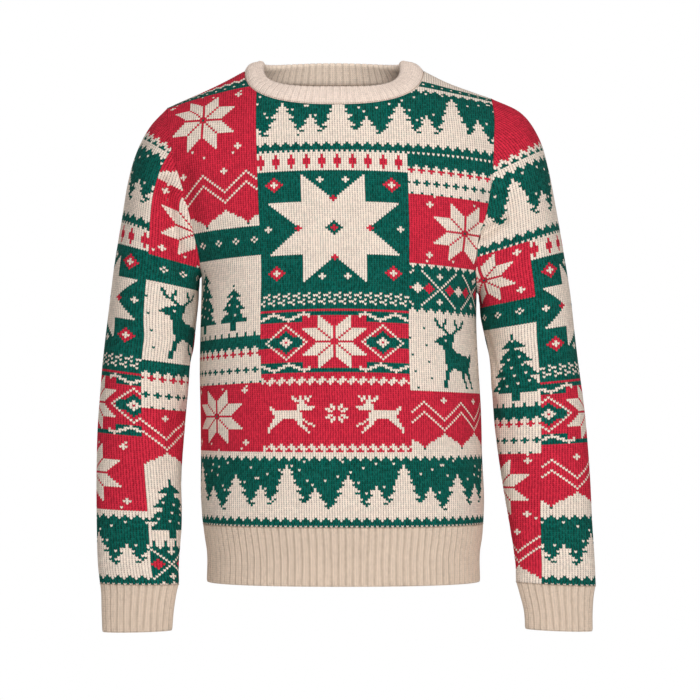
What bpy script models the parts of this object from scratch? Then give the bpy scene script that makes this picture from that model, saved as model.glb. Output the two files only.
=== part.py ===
"""A long-sleeved crew-neck sweater in jacquard knit, filled out as if worn.

Metres, +Z up. The origin lies between the shoulders at the base of the neck, where the
wearer holds the garment up. The front faces -Y, so the wearer's left arm is at +X.

The garment is open at the neck, hem and cuffs. Each knitted piece is a closed wall: an
outer face worked out from body sections, armhole seams and sleeve rings, and an inner face
one cloth thickness below it. Pieces that are sewn together share their seam points, and
each stops half a seam gap short of them. The ribbed bands have raised ribs over a plain
inside.
"""

import math

import bmesh
import bpy
import numpy as np

MM = 0.001

KNIT_THICKNESS = 3.0 * MM
RIB_THICKNESS = 3.6 * MM
COLLAR_THICKNESS = 5.0 * MM
GROOVE_DEPTH = 1.5 * MM
HALF_GAP = 0.15 * MM

HEM_SEAM_HEIGHT = -586 * MM
HEM_HEIGHT = -661.5 * MM
SIDE_ROUNDNESS = 2.25
SHOULDER_FALL = 90 * MM
ARMHOLE_DEPTH_SHARE = 0.62
ARMHOLE_RISE = 90 * MM
ARMPIT_SHARPNESS = 12
BACK_WIDTH_EXTRA = 7 * MM

NECK_CENTRE = -7.5 * MM
NECK_HALF_WIDTH = 116 * MM
NECK_ROUNDNESS = 2.5
FRONT_NECK_DROP = 49.5 * MM
BACK_NECK_DROP = 9.5 * MM
COLLAR_RISE = 25.5 * MM
COLLAR_LEAN_SIDE = 21.5 * MM
COLLAR_LEAN_FRONT = 14 * MM
COLLAR_LEAN_BACK = 11 * MM
COLLAR_SIDE_RISE = 16 * MM

SHOULDER_COLUMNS = 4
NECK_COLUMNS = 16
COLUMN_LEAN = 4
PANEL_COLUMNS = 2 * SHOULDER_COLUMNS + NECK_COLUMNS
ROWS_BELOW_ARMPIT = 12
ROWS_ABOVE_ARMPIT = 12
SLEEVE_SIDES = 2 * ROWS_ABOVE_ARMPIT
# How many rings a sleeve takes to turn from its armhole's shape into a plain oval.
SLEEVE_FADE_RINGS = 5
# A fold is at half its depth where the body's surface comes this close to y = 0.
FOLD_MARGIN = 20 * MM

HEM_RIBS = 51
CUFF_RIBS = 25
COLLAR_RIBS = 72
# A rib is two stitches wide and its groove one: the share of a rib's pitch at which each
# column of points stands, and how deep it lies.
RIB_COLUMNS = ((0.0, 0.0), (0.60, 0.0), (0.80, 1.0))
HEM_ROW_HEIGHTS = (HEM_SEAM_HEIGHT - HALF_GAP, -601 * MM, -620 * MM, HEM_HEIGHT)

# The collar's section. Each row up its outside is a share of the band's height, a distance
# below its outer face in collar thicknesses, and the share of the groove that shows there.
# Each row down its plain inside is a share of the height and such a distance.
COLLAR_OUTSIDE = (
    (0.0, 0.0, 1.0),
    (0.30, -0.12, 1.0),
    (0.62, -0.10, 1.0),
    (0.88, 0.10, 0.8),
    (1.0, 0.40, 0.3),
)
COLLAR_INSIDE = ((1.0, 0.68), (0.86, 0.98), (0.45, 1.0))
# The share of its slant along the neck seam that the collar gives up as it stands.
COLLAR_SQUARING = 0.5

# The garment's halves and arms, each as the sign of its coordinate.
FRONT, BACK = -1, 1
RIGHT, LEFT = -1, 1


def table(columns, *rows):
    """Rows of millimetres as named columns in metres."""
    values = np.array(rows, dtype=float) * MM
    return {name: values[:, i] for i, name in enumerate(columns.split())}


# The body from the hem seam up: how far its middle lies from x = 0, half its width, and how
# far the front and back stand from y = 0. Above the armpits the width comes from the armholes.
BODY = table(
    "height centre half_width front back",
    (-662, 4.5, 177.5, 116, 110),
    (-622, 4.5, 177.5, 116, 110),
    (-602, 4.5, 180.5, 119, 113),
    (-586, 4.0, 182.0, 122, 116),
    (-560, 3.5, 183.5, 124, 118),
    (-500, 2.0, 182.5, 124, 118),
    (-440, 1.0, 182.0, 124, 117),
    (-390, -1.0, 181.0, 124, 117),
    (-330, -2.0, 179.0, 125, 118),
    (-268, -1.0, 178.5, 125, 120),
    (-210, -2.0, 178.5, 124, 122),
    (-150, -4.0, 178.5, 119, 121),
    (-100, -5.5, 178.5, 110, 114),
    (-50, -7.0, 178.5, 93, 98),
    (0, -7.5, 178.5, 70, 73),
    (30, -7.5, 178.5, 55, 58),
)

# The top of the shoulders from the wearer's right to left. Between the necks' sides it is
# only a guide, because the neckline cuts it away.
SHOULDER_LINE = table(
    "across height",
    (-235, -53),
    (-222, -46),
    (-201, -36.5),
    (-177, -26),
    (-152, -14),
    (-124, 1),
    (-70, 28),
    (-8, 42),
    (55, 28),
    (109, 1),
    (137, -13),
    (170, -25.5),
    (200, -36),
    (225, -46.5),
)

# Each armhole's front seam from the armpit up, as a distance to the side of x = 0.
ARMHOLES = {
    RIGHT: table(
        "height out",
        (-266, 179.5),
        (-250, 180.5),
        (-210, 188),
        (-153, 202),
        (-112, 214),
        (-80, 220.5),
        (-46, 224),
    ),
    LEFT: table(
        "height out",
        (-287, 177.5),
        (-265, 175),
        (-215, 178.5),
        (-186, 187.5),
        (-153, 193.5),
        (-86, 198),
        (-61, 199),
        (-34, 196),
    ),
}

# Sleeve rings from the armhole to the cuff seam: the outer end of each ring and its inner
# end towards the body, as distances to the side and heights, half the ring's depth from
# front to back, and how far its middle hangs forward.
SLEEVES = {
    RIGHT: table(
        "outer_x outer_z inner_x inner_z half_depth forward",
        (224, -46, 179.5, -266, 74, 0),
        (247, -71, 181.2, -266.8, 73, 0),
        (264, -104, 182.2, -269, 72, 0),
        (275.5, -144, 182.5, -273.5, 70, 0),
        (284.5, -199, 183.0, -282, 67, 0),
        (293, -251, 184.0, -297, 64, 0),
        (299.5, -303, 186.5, -324, 60, 0),
        (304.5, -344, 189.0, -359, 56, 1),
        (308.5, -381, 193.0, -388, 53, 2),
        (311.5, -420, 198.0, -423, 49, 4),
        (314.5, -465, 202.0, -468, 44, 7),
        (315.5, -524, 205.8, -527, 37, 12),
        (315, -582, 205.0, -583, 32, 16),
        (313.5, -634, 208.5, -635, 29, 19),
        (310.5, -663, 208.5, -664, 26.5, 20),
    ),
    LEFT: table(
        "outer_x outer_z inner_x inner_z half_depth forward",
        (196, -34, 177.5, -287, 74, 0),
        (235, -53, 179.3, -287.8, 73, 0),
        (258, -85, 180.3, -290, 72, 0),
        (270.5, -126, 180.7, -294.5, 70, 0),
        (281, -180, 181.2, -301, 67, 0),
        (290.5, -235, 182.0, -309, 64, 0),
        (299, -288, 183.5, -324, 60, 0),
        (305, -342, 188.0, -350, 56, 1),
        (309.5, -379, 193.0, -384, 53, 2),
        (315, -420, 198.0, -424, 49, 4),
        (319.5, -462, 201.5, -466, 44, 7),
        (324, -524, 209.5, -526, 37, 12),
        (326.5, -582, 219.0, -583, 32, 16),
        (329.5, -632, 226.5, -632, 29, 19),
        (331, -666, 228.0, -661, 26.5, 20),
    ),
}
CUFFS = {
    RIGHT: table(
        "outer_x outer_z inner_x inner_z half_depth forward",
        (310.5, -663, 208.5, -664, 26.5, 20),
        (309, -677, 211.5, -676, 25, 20.5),
        (308.5, -700, 215, -699, 24, 21),
        (307.5, -726, 217, -724, 24, 22),
    ),
    LEFT: table(
        "outer_x outer_z inner_x inner_z half_depth forward",
        (331, -666, 228.0, -661, 26.5, 20),
        (328.5, -679, 232, -675, 25, 20.5),
        (327, -701, 238, -699, 24, 21),
        (327, -725, 239.5, -722, 24, 22),
    ),
}

# The largest folds, as soft troughs: on the body, where each runs in the front view, how
# deep it is and how far it spreads, in millimetres.
BODY_FOLDS = {
    FRONT: table(
        "from_x from_z to_x to_z depth spread",
        (-200, -150, -182, -235, 7, 17),
        (184, -176, 168, -225, 6, 15),
        (-150, -540, -60, -556, 3, 16),
        (70, -556, 150, -536, 3, 16),
    ),
    BACK: table(
        "from_x from_z to_x to_z depth spread",
        (-198, -150, -180, -225, 6, 18),
        (190, -160, 172, -235, 6, 18),
        (-60, -75, 60, -78, 3, 24),
        (-120, -548, 40, -560, 3, 18),
    ),
}
# On a sleeve, along and turn are thousandths of its length from the armhole and of the way
# round from the outer end over the front, and so is spread. Depth is in millimetres.
SLEEVE_FOLDS = table(
    "from_along from_turn to_along to_turn depth spread",
    (120, 400, 330, 230, 6, 55),
    (480, 460, 560, 330, 4, 45),
    (560, 520, 640, 640, 4, 45),
    (150, 600, 360, 740, 5, 60),
)

CREAM = (0.78, 0.64, 0.50)
RIB_BEIGE = (0.68, 0.55, 0.43)


def read(source, column, at, along="height"):
    """A table's column at any place along it, on a smooth curve through its rows."""
    x, y = source[along], source[column]
    slope = np.gradient(y, x)
    at = np.clip(at, x[0], x[-1])
    i = np.clip(np.searchsorted(x, at, side="right") - 1, 0, len(x) - 2)
    step = x[i + 1] - x[i]
    t = (at - x[i]) / step
    return (
        (2 * t**3 - 3 * t**2 + 1) * y[i]
        + (t**3 - 2 * t**2 + t) * step * slope[i]
        + (3 * t**2 - 2 * t**3) * y[i + 1]
        + (t**3 - t**2) * step * slope[i + 1]
    )


def unit(vectors):
    """Vectors at length one."""
    return vectors / np.maximum(np.linalg.norm(vectors, axis=-1, keepdims=True), 1e-12)


def spaced(points, count):
    """count + 1 points at even steps along a dense line of points."""
    steps = np.linalg.norm(np.diff(points, axis=0), axis=1)
    run = np.concatenate([[0.0], np.cumsum(steps)])
    at = np.linspace(0.0, run[-1], count + 1)
    return np.stack([np.interp(at, run, points[:, k]) for k in range(points.shape[1])], axis=1)


def armhole_out(side, face, height):
    """How far an armhole's seam lies to the side at a height, on the front or the back."""
    source = ARMHOLES[side]
    low, high = source["height"][0], source["height"][-1]
    share = np.clip((height - low) / (high - low), 0.0, 1.0)
    extra = BACK_WIDTH_EXTRA * np.sin(math.pi * share) if face == BACK else 0.0
    return read(source, "out", height) + extra


def section_reach(side, face, height):
    """The body's reach to one side of its middle at a height."""
    source = ARMHOLES[side]
    centre = read(BODY, "centre", height)
    above = armhole_out(side, face, height) - side * centre
    return np.where(height > source["height"][0], above, read(BODY, "half_width", height))


def depth_at(face, x, z):
    """How far the body's front or back stands from y = 0."""
    centre = read(BODY, "centre", z)
    full = read(BODY, "front" if face == FRONT else "back", z)
    left = x > centre
    reach = np.where(left, section_reach(LEFT, face, z), section_reach(RIGHT, face, z))
    armpit = np.where(left, ARMHOLES[LEFT]["height"][0], ARMHOLES[RIGHT]["height"][0])
    rise = np.clip((z - armpit) / ARMHOLE_RISE, 0.0, 1.0)
    edge = ARMHOLE_DEPTH_SHARE * np.sqrt(1 - (1 - rise) ** 2)
    across = np.clip(np.abs(x - centre) / reach, 0.0, 1.0)
    spread = SIDE_ROUNDNESS + ARMPIT_SHARPNESS * (1 - rise) ** 2
    lift = edge**SIDE_ROUNDNESS * across**spread
    section = (1 - across**SIDE_ROUNDNESS + lift) ** (1 / SIDE_ROUNDNESS)
    fall = np.clip((read(SHOULDER_LINE, "height", x, "across") - z) / SHOULDER_FALL, 0.0, 1.0)
    return full * section * np.sqrt(1 - (1 - fall) ** 2)


def on_body(face, flat):
    """Points of the front view, as x and z, put on the body's front or back."""
    x, z = flat[..., 0], flat[..., 1]
    return np.stack([x, face * depth_at(face, x, z), z], axis=-1)


def way_down(flat):
    """Turns each point's height into its way down from the shoulder line, over its curve."""
    x, z = flat[..., 0], flat[..., 1]
    fall = np.maximum(read(SHOULDER_LINE, "height", x, "across") - z, 0.0)
    curved = SHOULDER_FALL * np.arccos(np.clip(1 - fall / SHOULDER_FALL, 0.0, 1.0))
    return np.stack([x, curved + np.maximum(fall - SHOULDER_FALL, 0.0)], axis=-1)


def from_way_down(flat):
    """Turns each point's way down from the shoulder line back into its height."""
    x, way = flat[..., 0], flat[..., 1]
    quarter = SHOULDER_FALL * math.pi / 2
    curved = SHOULDER_FALL * (1 - np.cos(np.minimum(way, quarter) / SHOULDER_FALL))
    fall = curved + np.maximum(way - quarter, 0.0)
    return np.stack([x, read(SHOULDER_LINE, "height", x, "across") - fall], axis=-1)


def armhole_seam(side, face):
    """One half of an armhole seam in the front view, from the armpit to the shoulder."""
    source = ARMHOLES[side]
    low, high = source["height"][0], source["height"][-1]
    height = np.linspace(low, high, 400)
    line = np.stack([side * armhole_out(side, face, height), height], axis=1)
    axis = unit(line[-1] - line[0])
    share = (line - line[0]) @ axis
    turn = np.linspace(0.0, math.pi, ROWS_ABOVE_ARMPIT + 1)
    at = share[-1] * (1 - np.cos(turn)) / 2
    return np.stack([np.interp(at, share, line[:, k]) for k in range(2)], axis=1)


def neckline(face):
    """The neck seam in the front view from the wearer's right to left."""
    drop = FRONT_NECK_DROP if face == FRONT else BACK_NECK_DROP
    turn = np.linspace(math.pi, 0.0, 400)
    power = 2 / NECK_ROUNDNESS
    x = NECK_CENTRE + NECK_HALF_WIDTH * np.sign(np.cos(turn)) * np.abs(np.cos(turn)) ** power
    side = read(SHOULDER_LINE, "height", x[[0, -1]], "across")
    z = np.linspace(side[0], side[1], len(x)) - drop * np.sin(turn) ** power
    return np.stack([x, z], axis=1)


def top_edge(face):
    """A body panel's top edge: a shoulder, the neckline and the other shoulder."""
    neck = neckline(face)
    pieces = []
    for side, corner in ((RIGHT, neck[0]), (LEFT, neck[-1])):
        tip = armhole_seam(side, face)[-1]
        x = np.linspace(tip[0], corner[0], 200)
        line = np.stack([x, read(SHOULDER_LINE, "height", x, "across")], axis=1)
        pieces.append(line[::-1] if side == LEFT else line)
    counts = (SHOULDER_COLUMNS, NECK_COLUMNS, SHOULDER_COLUMNS)
    lines = (pieces[0], neck, pieces[1])
    edges = [spaced(on_body(face, line), n) for line, n in zip(lines, counts)]
    whole = np.concatenate([edges[0], edges[1][1:], edges[2][1:]])
    return whole[:, [0, 2]]


def section_row(face, left_height, right_height):
    """A row of the body below the armpits, from the wearer's right side seam to the left."""
    turn = np.linspace(math.pi, 0.0, 801)
    share = (math.pi - turn) / math.pi
    height = right_height + (left_height - right_height) * share
    power = 2 / SIDE_ROUNDNESS
    out = np.sign(np.cos(turn)) * np.abs(np.cos(turn)) ** power
    x = read(BODY, "centre", height) + read(BODY, "half_width", height) * out
    full = read(BODY, "front" if face == FRONT else "back", height)
    y = face * full * np.abs(np.sin(turn)) ** power
    return spaced(np.stack([x, y, height], axis=1), PANEL_COLUMNS)


def trough_depth(folds, starts, ends, places):
    """How deep a table's soft troughs are at places in the troughs' own coordinates."""
    total = np.zeros(places.shape[:-1])
    for i in range(len(folds["depth"])):
        start = np.array([folds[name][i] for name in starts])
        run = np.array([folds[name][i] for name in ends]) - start
        share = np.clip((places - start) @ run / (run @ run), 0.0, 1.0)
        away = np.linalg.norm(places - start - share[..., None] * run, axis=-1)
        total += folds["depth"][i] * np.exp(-((away / folds["spread"][i]) ** 2))
    return total


def fold_offset(points, face):
    """How far the body's folds press each point in."""
    flat = points[..., [0, 2]]
    return trough_depth(BODY_FOLDS[face], ("from_x", "from_z"), ("to_x", "to_z"), flat)


def body_panel(face):
    """The outer face of the front or back, as rows from the hem seam to the neck."""
    right_pit, left_pit = (ARMHOLES[side]["height"][0] for side in (RIGHT, LEFT))
    rows = []
    for k in range(ROWS_BELOW_ARMPIT + 1):
        share = k / ROWS_BELOW_ARMPIT
        rows.append(
            section_row(
                face,
                HEM_SEAM_HEIGHT + share * (left_pit - HEM_SEAM_HEIGHT),
                HEM_SEAM_HEIGHT + share * (right_pit - HEM_SEAM_HEIGHT),
            )
        )
    low, high = way_down(rows[-1][:, [0, 2]]), way_down(top_edge(face))
    right, left = (way_down(armhole_seam(side, face)) for side in (RIGHT, LEFT))
    u = np.linspace(0.0, 1.0, PANEL_COLUMNS + 1)[:, None]
    for k in range(1, ROWS_ABOVE_ARMPIT + 1):
        climb = (right[0, 1] - right[k, 1]) / (right[0, 1] - right[-1, 1])
        v = np.array([climb**COLUMN_LEAN, climb])
        across = (1 - v) * low + v * high
        flat = across + (1 - u) * (right[k] - across[0]) + u * (left[k] - across[-1])
        rows.append(on_body(face, from_way_down(flat)))
    grid = np.array(rows)
    grid[-1, : SHOULDER_COLUMNS + 1, 1] = 0.0
    grid[-1, -SHOULDER_COLUMNS - 1 :, 1] = 0.0
    pressed = fold_offset(grid, face)
    pressed[0] = 0.0
    depth = np.abs(grid[..., 1])
    grid[..., 1] -= face * pressed * depth / (depth + FOLD_MARGIN)
    return grid


def sleeve_rings(stations, side, armhole=None):
    """Rings down a sleeve or a cuff, each from its outer end round the front, the inner end
    and the back. The first rings take on the armhole's shape where there is one."""
    turn = np.linspace(0.0, 2 * math.pi, SLEEVE_SIDES, endpoint=False)
    rings = []
    for i in range(len(stations["outer_x"])):
        here = {name: column[i] for name, column in stations.items()}
        outer = np.array([side * here["outer_x"], 0.0, here["outer_z"]])
        inner = np.array([side * here["inner_x"], 0.0, here["inner_z"]])
        middle = (outer + inner) / 2 - np.array([0.0, here["forward"], 0.0])
        out = (outer - inner) / 2
        deep = np.array([0.0, -here["half_depth"], 0.0])
        rings.append(middle + np.cos(turn)[:, None] * out + np.sin(turn)[:, None] * deep)
    rings = np.array(rings)
    if armhole is not None:
        excess = armhole - rings[0]
        for i in range(len(rings)):
            fade = max(0.0, 1 - i / SLEEVE_FADE_RINGS)
            rings[i] += excess * fade * fade * (3 - 2 * fade)
    return rings


def press_sleeve(rings):
    """Puts a sleeve's folds into its rings, leaving both its ends as they are."""
    count = len(rings)
    along = np.linspace(0.0, 1.0, count)[:, None]
    turn = np.linspace(0.0, 1.0, SLEEVE_SIDES, endpoint=False)[None, :]
    places = np.stack(np.broadcast_arrays(along, turn), axis=-1)
    starts, ends = ("from_along", "from_turn"), ("to_along", "to_turn")
    total = trough_depth(SLEEVE_FOLDS, starts, ends, places)
    total *= np.sqrt(np.sin(math.pi * along))
    total[0] = total[-1] = 0.0
    middle = rings.mean(axis=1, keepdims=True)
    return rings - total[..., None] * unit(rings - middle)


def armhole_loop(side, panels):
    """An armhole's seam points from the panels, from the shoulder round the front."""
    column = -1 if side == LEFT else 0
    front = panels[FRONT][ROWS_BELOW_ARMPIT:, column]
    back = panels[BACK][ROWS_BELOW_ARMPIT:, column]
    return np.concatenate([front[::-1], back[1:-1]])


def triangles_of(grid_faces):
    """Four-sided faces as pairs of triangles."""
    a, b, c, d = (grid_faces[:, k] for k in range(4))
    return np.concatenate([np.stack([a, b, c], axis=1), np.stack([a, c, d], axis=1)])


def grid_quads(rows, columns, closed):
    """The faces of a grid of points, each with its outside to the right of its rows."""
    r, c = np.meshgrid(np.arange(rows - 1), np.arange(columns if closed else columns - 1))
    r, c = r.ravel(), c.ravel()
    after = (c + 1) % columns
    return np.stack(
        [r * columns + c, r * columns + after, (r + 1) * columns + after, (r + 1) * columns + c],
        axis=1,
    )


def shared_normals(grids, flips, closed):
    """Outward directions at each grid's points, averaged over pieces that meet there."""
    points = np.concatenate([g.reshape(-1, 3) for g in grids])
    keys = np.round(points / (0.01 * MM)).astype(np.int64)
    _, same = np.unique(keys, axis=0, return_inverse=True)
    same = same.ravel()
    total = np.zeros((same.max() + 1, 3))
    start = 0
    for grid, flip, ring in zip(grids, flips, closed):
        faces = triangles_of(grid_quads(grid.shape[0], grid.shape[1], ring)) + start
        a, b, c = (points[faces[:, k]] for k in range(3))
        normals = np.cross(b - a, c - a) * (-1 if flip else 1)
        for k in range(3):
            np.add.at(total, same[faces[:, k]], normals)
        start += grid.shape[0] * grid.shape[1]
    normals = unit(total)[same]
    ends = np.cumsum([g.shape[0] * g.shape[1] for g in grids])[:-1]
    parts = np.split(normals, ends)
    return [part.reshape(grid.shape) for part, grid in zip(parts, grids)]


def armhole_directions(side, panels, rings, found):
    """Outward directions along an armhole's seam, which stay clear of the fold at the armpit.

    Where the sleeve and the body fold together, their outsides face each other, and the wall
    between them points into the fold.
    """
    column, beside = (-1, -2) if side == LEFT else (0, 1)
    loop = rings[0]
    front = panels[FRONT][ROWS_BELOW_ARMPIT:, beside]
    back = panels[BACK][ROWS_BELOW_ARMPIT:, beside]
    body = np.concatenate([front[::-1], back[1:-1]])
    body[ROWS_ABOVE_ARMPIT] = panels[FRONT][ROWS_BELOW_ARMPIT - 1, column]
    body[0] = (panels[FRONT][-1, beside] + panels[BACK][-1, beside]) / 2
    along = unit(np.roll(loop, -1, axis=0) - np.roll(loop, 1, axis=0))
    into = np.zeros_like(loop)
    for neighbour in (body, rings[1]):
        away = neighbour - loop
        into += unit(away - np.sum(away * along, axis=1, keepdims=True) * along)
    folded = np.clip(np.sum(found * into, axis=1, keepdims=True), 0.0, None)
    mixed = found + 2 * folded * into
    return unit(mixed - np.sum(mixed * along, axis=1, keepdims=True) * along)


def pull_in(grid, edge, closed=False):
    """Moves one edge of a grid half a seam gap into its piece, square to the edge."""
    turned = {
        "first_row": grid,
        "last_row": grid[::-1],
        "first_column": grid.transpose(1, 0, 2),
        "last_column": grid.transpose(1, 0, 2)[::-1],
    }[edge]
    line, inside = turned[0].copy(), turned[1]
    if closed:
        along = unit(np.roll(line, -1, axis=0) - np.roll(line, 1, axis=0))
    else:
        along = unit(np.gradient(line, axis=0))
    inward = inside - line
    inward -= np.sum(inward * along, axis=-1, keepdims=True) * along
    turned[0] = line + HALF_GAP * unit(inward)


def zip_rim(outer, inner, outer_step, closed):
    """Triangles between an outer line of points and a plain inner one with fewer points."""
    faces = []
    spans = len(inner) if closed else len(inner) - 1
    for i in range(spans):
        a, b = inner[i], inner[(i + 1) % len(inner)]
        chain = [outer[(i * outer_step + k) % len(outer)] for k in range(outer_step + 1)]
        half = outer_step // 2 + 1
        faces += [(a, chain[k], chain[k + 1]) for k in range(half)]
        faces.append((a, chain[half], b))
        faces += [(b, chain[k], chain[k + 1]) for k in range(half, outer_step)]
    return faces


def rim_pair(low_out, high_out, high_in, low_in, rising):
    """Two triangles of a side rim, cut the way the sleeve's rim beside it is cut."""
    if rising:
        return [(low_out, high_out, low_in), (high_out, high_in, low_in)]
    return [(low_out, high_out, high_in), (low_out, high_in, low_in)]


def wall(name, outer, inner, colour, closed, flip):
    """One knitted piece: its outer and inner faces and the rims that join them.

    Both faces are grids with the same rows. The inner one may have fewer columns.
    """
    rows, columns = outer.shape[:2]
    plain = inner.shape[1]
    step = columns // plain if closed else (columns - 1) // (plain - 1)
    first_inner = rows * columns
    faces = [tuple(q) for q in grid_quads(rows, columns, closed)]
    faces += [tuple(first_inner + q[::-1]) for q in grid_quads(rows, plain, closed)]
    low_out = list(range(columns))
    low_in = [first_inner + i for i in range(plain)]
    high_out = [(rows - 1) * columns + i for i in range(columns)]
    high_in = [first_inner + (rows - 1) * plain + i for i in range(plain)]
    faces += [face[::-1] for face in zip_rim(low_out, low_in, step, closed)]
    faces += zip_rim(high_out, high_in, step, closed)
    if not closed:
        for r in range(rows - 1):
            a, b = r * columns, (r + 1) * columns
            c, d = first_inner + r * plain, first_inner + (r + 1) * plain
            faces += rim_pair(a, b, d, c, flip)
            e, f = a + columns - 1, b + columns - 1
            g, h = c + plain - 1, d + plain - 1
            faces += [face[::-1] for face in rim_pair(e, f, h, g, flip)]
    if flip:
        faces = [face[::-1] for face in faces]
    points = np.concatenate([outer.reshape(-1, 3), inner.reshape(-1, 3)])
    return solid(name, points, faces, colour)


def solid(name, points, faces, colour):
    """A named object from points and faces, in triangles, with its own material."""
    shape = bmesh.new()
    corners = [shape.verts.new(tuple(map(float, p))) for p in points]
    for face in faces:
        shape.faces.new([corners[int(i)] for i in face])
    bmesh.ops.triangulate(shape, faces=shape.faces[:], quad_method="SHORT_EDGE")
    mesh = bpy.data.meshes.new(name)
    shape.to_mesh(mesh)
    shape.free()
    mesh.materials.append(yarn(name + "_yarn", colour))
    mesh.shade_smooth()
    mesh.set_sharp_from_angle(angle=math.radians(40))
    piece = bpy.data.objects.new(name, mesh)
    bpy.context.scene.collection.objects.link(piece)
    return piece


def yarn(name, colour):
    """A matt wool-like material."""
    material = bpy.data.materials.new(name)
    material.use_nodes = True
    shader = material.node_tree.nodes["Principled BSDF"]
    shader.inputs["Base Color"].default_value = (*colour, 1.0)
    shader.inputs["Roughness"].default_value = 0.9
    shader.inputs["Metallic"].default_value = 0.0
    return material


def rib_places(ribs, closed):
    """Each rib column's place along a band, in ribs, and its depth share."""
    places, depths = [], []
    for i in range(ribs):
        for place, depth in RIB_COLUMNS:
            places.append(i + place)
            depths.append(depth)
    if not closed:
        places.append(float(ribs))
        depths.append(0.0)
    return np.array(places), np.array(depths)


def along_line(points, places, pitch_count, closed):
    """Points at places along a line that is divided into equal pitches, on its own chords."""
    line = np.concatenate([points, points[:1]]) if closed else points
    steps = np.linalg.norm(np.diff(line, axis=0), axis=1)
    run = np.concatenate([[0.0], np.cumsum(steps)])
    at = places / pitch_count * run[-1]
    return np.stack([np.interp(at, run, line[:, k]) for k in range(3)], axis=1)


def hem_band(name, face):
    """Half of the ribbed hem, from one side seam to the other."""
    places, depths = rib_places(HEM_RIBS, closed=False)
    base = np.array([section_row(face, height, height) for height in HEM_ROW_HEIGHTS])
    outer = np.array([along_line(row, places, HEM_RIBS, False) for row in base])
    along = np.gradient(outer, axis=1)
    along[:, [0, -1], 0] = 0.0
    normals = -face * unit(np.cross(along, np.array([0.0, 0.0, 1.0])))
    inner = (outer - RIB_THICKNESS * normals)[:, :: len(RIB_COLUMNS)]
    outer = outer - GROOVE_DEPTH * depths[None, :, None] * normals
    for grid in (outer, inner):
        for edge in ("first_column", "last_column"):
            pull_in(grid, edge)
    return wall(name, outer, inner, RIB_BEIGE, closed=False, flip=face == FRONT)


def cuff_band(name, stations, side):
    """A ribbed cuff, closed round the wrist."""
    places, depths = rib_places(CUFF_RIBS, closed=True)
    rings = sleeve_rings(stations, side)
    outer, normals = [], []
    for ring in rings:
        dense = smooth_ring(ring)
        row = along_line(dense, places, CUFF_RIBS, True)
        along = np.roll(row, -1, axis=0) - np.roll(row, 1, axis=0)
        out = unit(np.cross(along, down_sleeve(ring)))
        out *= np.sign(np.sum(out * (row - row.mean(axis=0))))
        outer.append(row)
        normals.append(out)
    outer, normals = np.array(outer), np.array(normals)
    inner = (outer - RIB_THICKNESS * normals)[:, :: len(RIB_COLUMNS)]
    outer = outer - GROOVE_DEPTH * depths[None, :, None] * normals
    drop = unit(rings[1].mean(axis=0) - rings[0].mean(axis=0)) * HALF_GAP
    outer[0] += drop
    inner[0] += drop
    return wall(name, outer, inner, RIB_BEIGE, closed=True, flip=side == RIGHT)


def smooth_ring(ring, per_side=6):
    """A closed ring of points with curved stretches between them."""
    before, after, beyond = (np.roll(ring, -k, axis=0) for k in (-1, 1, 2))
    pieces = []
    for k in range(per_side):
        t = k / per_side
        pieces.append(
            0.5
            * (
                2 * ring
                + (after - before) * t
                + (2 * before - 5 * ring + 4 * after - beyond) * t**2
                + (3 * ring - before - 3 * after + beyond) * t**3
            )
        )
    return np.stack(pieces, axis=1).reshape(-1, 3)


def neck_loop(grids):
    """The neck seam's values from both panels, round the front and then the back."""
    first, last = SHOULDER_COLUMNS, SHOULDER_COLUMNS + NECK_COLUMNS
    front, back = grids[FRONT][-1, first : last + 1], grids[BACK][-1, first : last + 1]
    return np.concatenate([front, back[::-1][1:-1]])


def even_neck(panels, normals, passes=4):
    """Evens out the wall's direction round the neck seam, square to the seam."""
    loop, out = neck_loop(panels), neck_loop(normals)
    along = unit(np.roll(loop, -1, axis=0) - np.roll(loop, 1, axis=0))
    for _ in range(passes):
        out = out / 2 + (np.roll(out, 1, axis=0) + np.roll(out, -1, axis=0)) / 4
    out = unit(out - np.sum(out * along, axis=1, keepdims=True) * along)
    first, last = SHOULDER_COLUMNS, SHOULDER_COLUMNS + NECK_COLUMNS
    normals[FRONT][-1, first : last + 1] = out[: NECK_COLUMNS + 1]
    rest = np.concatenate([out[NECK_COLUMNS:], out[:1]])
    normals[BACK][-1, first : last + 1] = rest[::-1]


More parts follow.
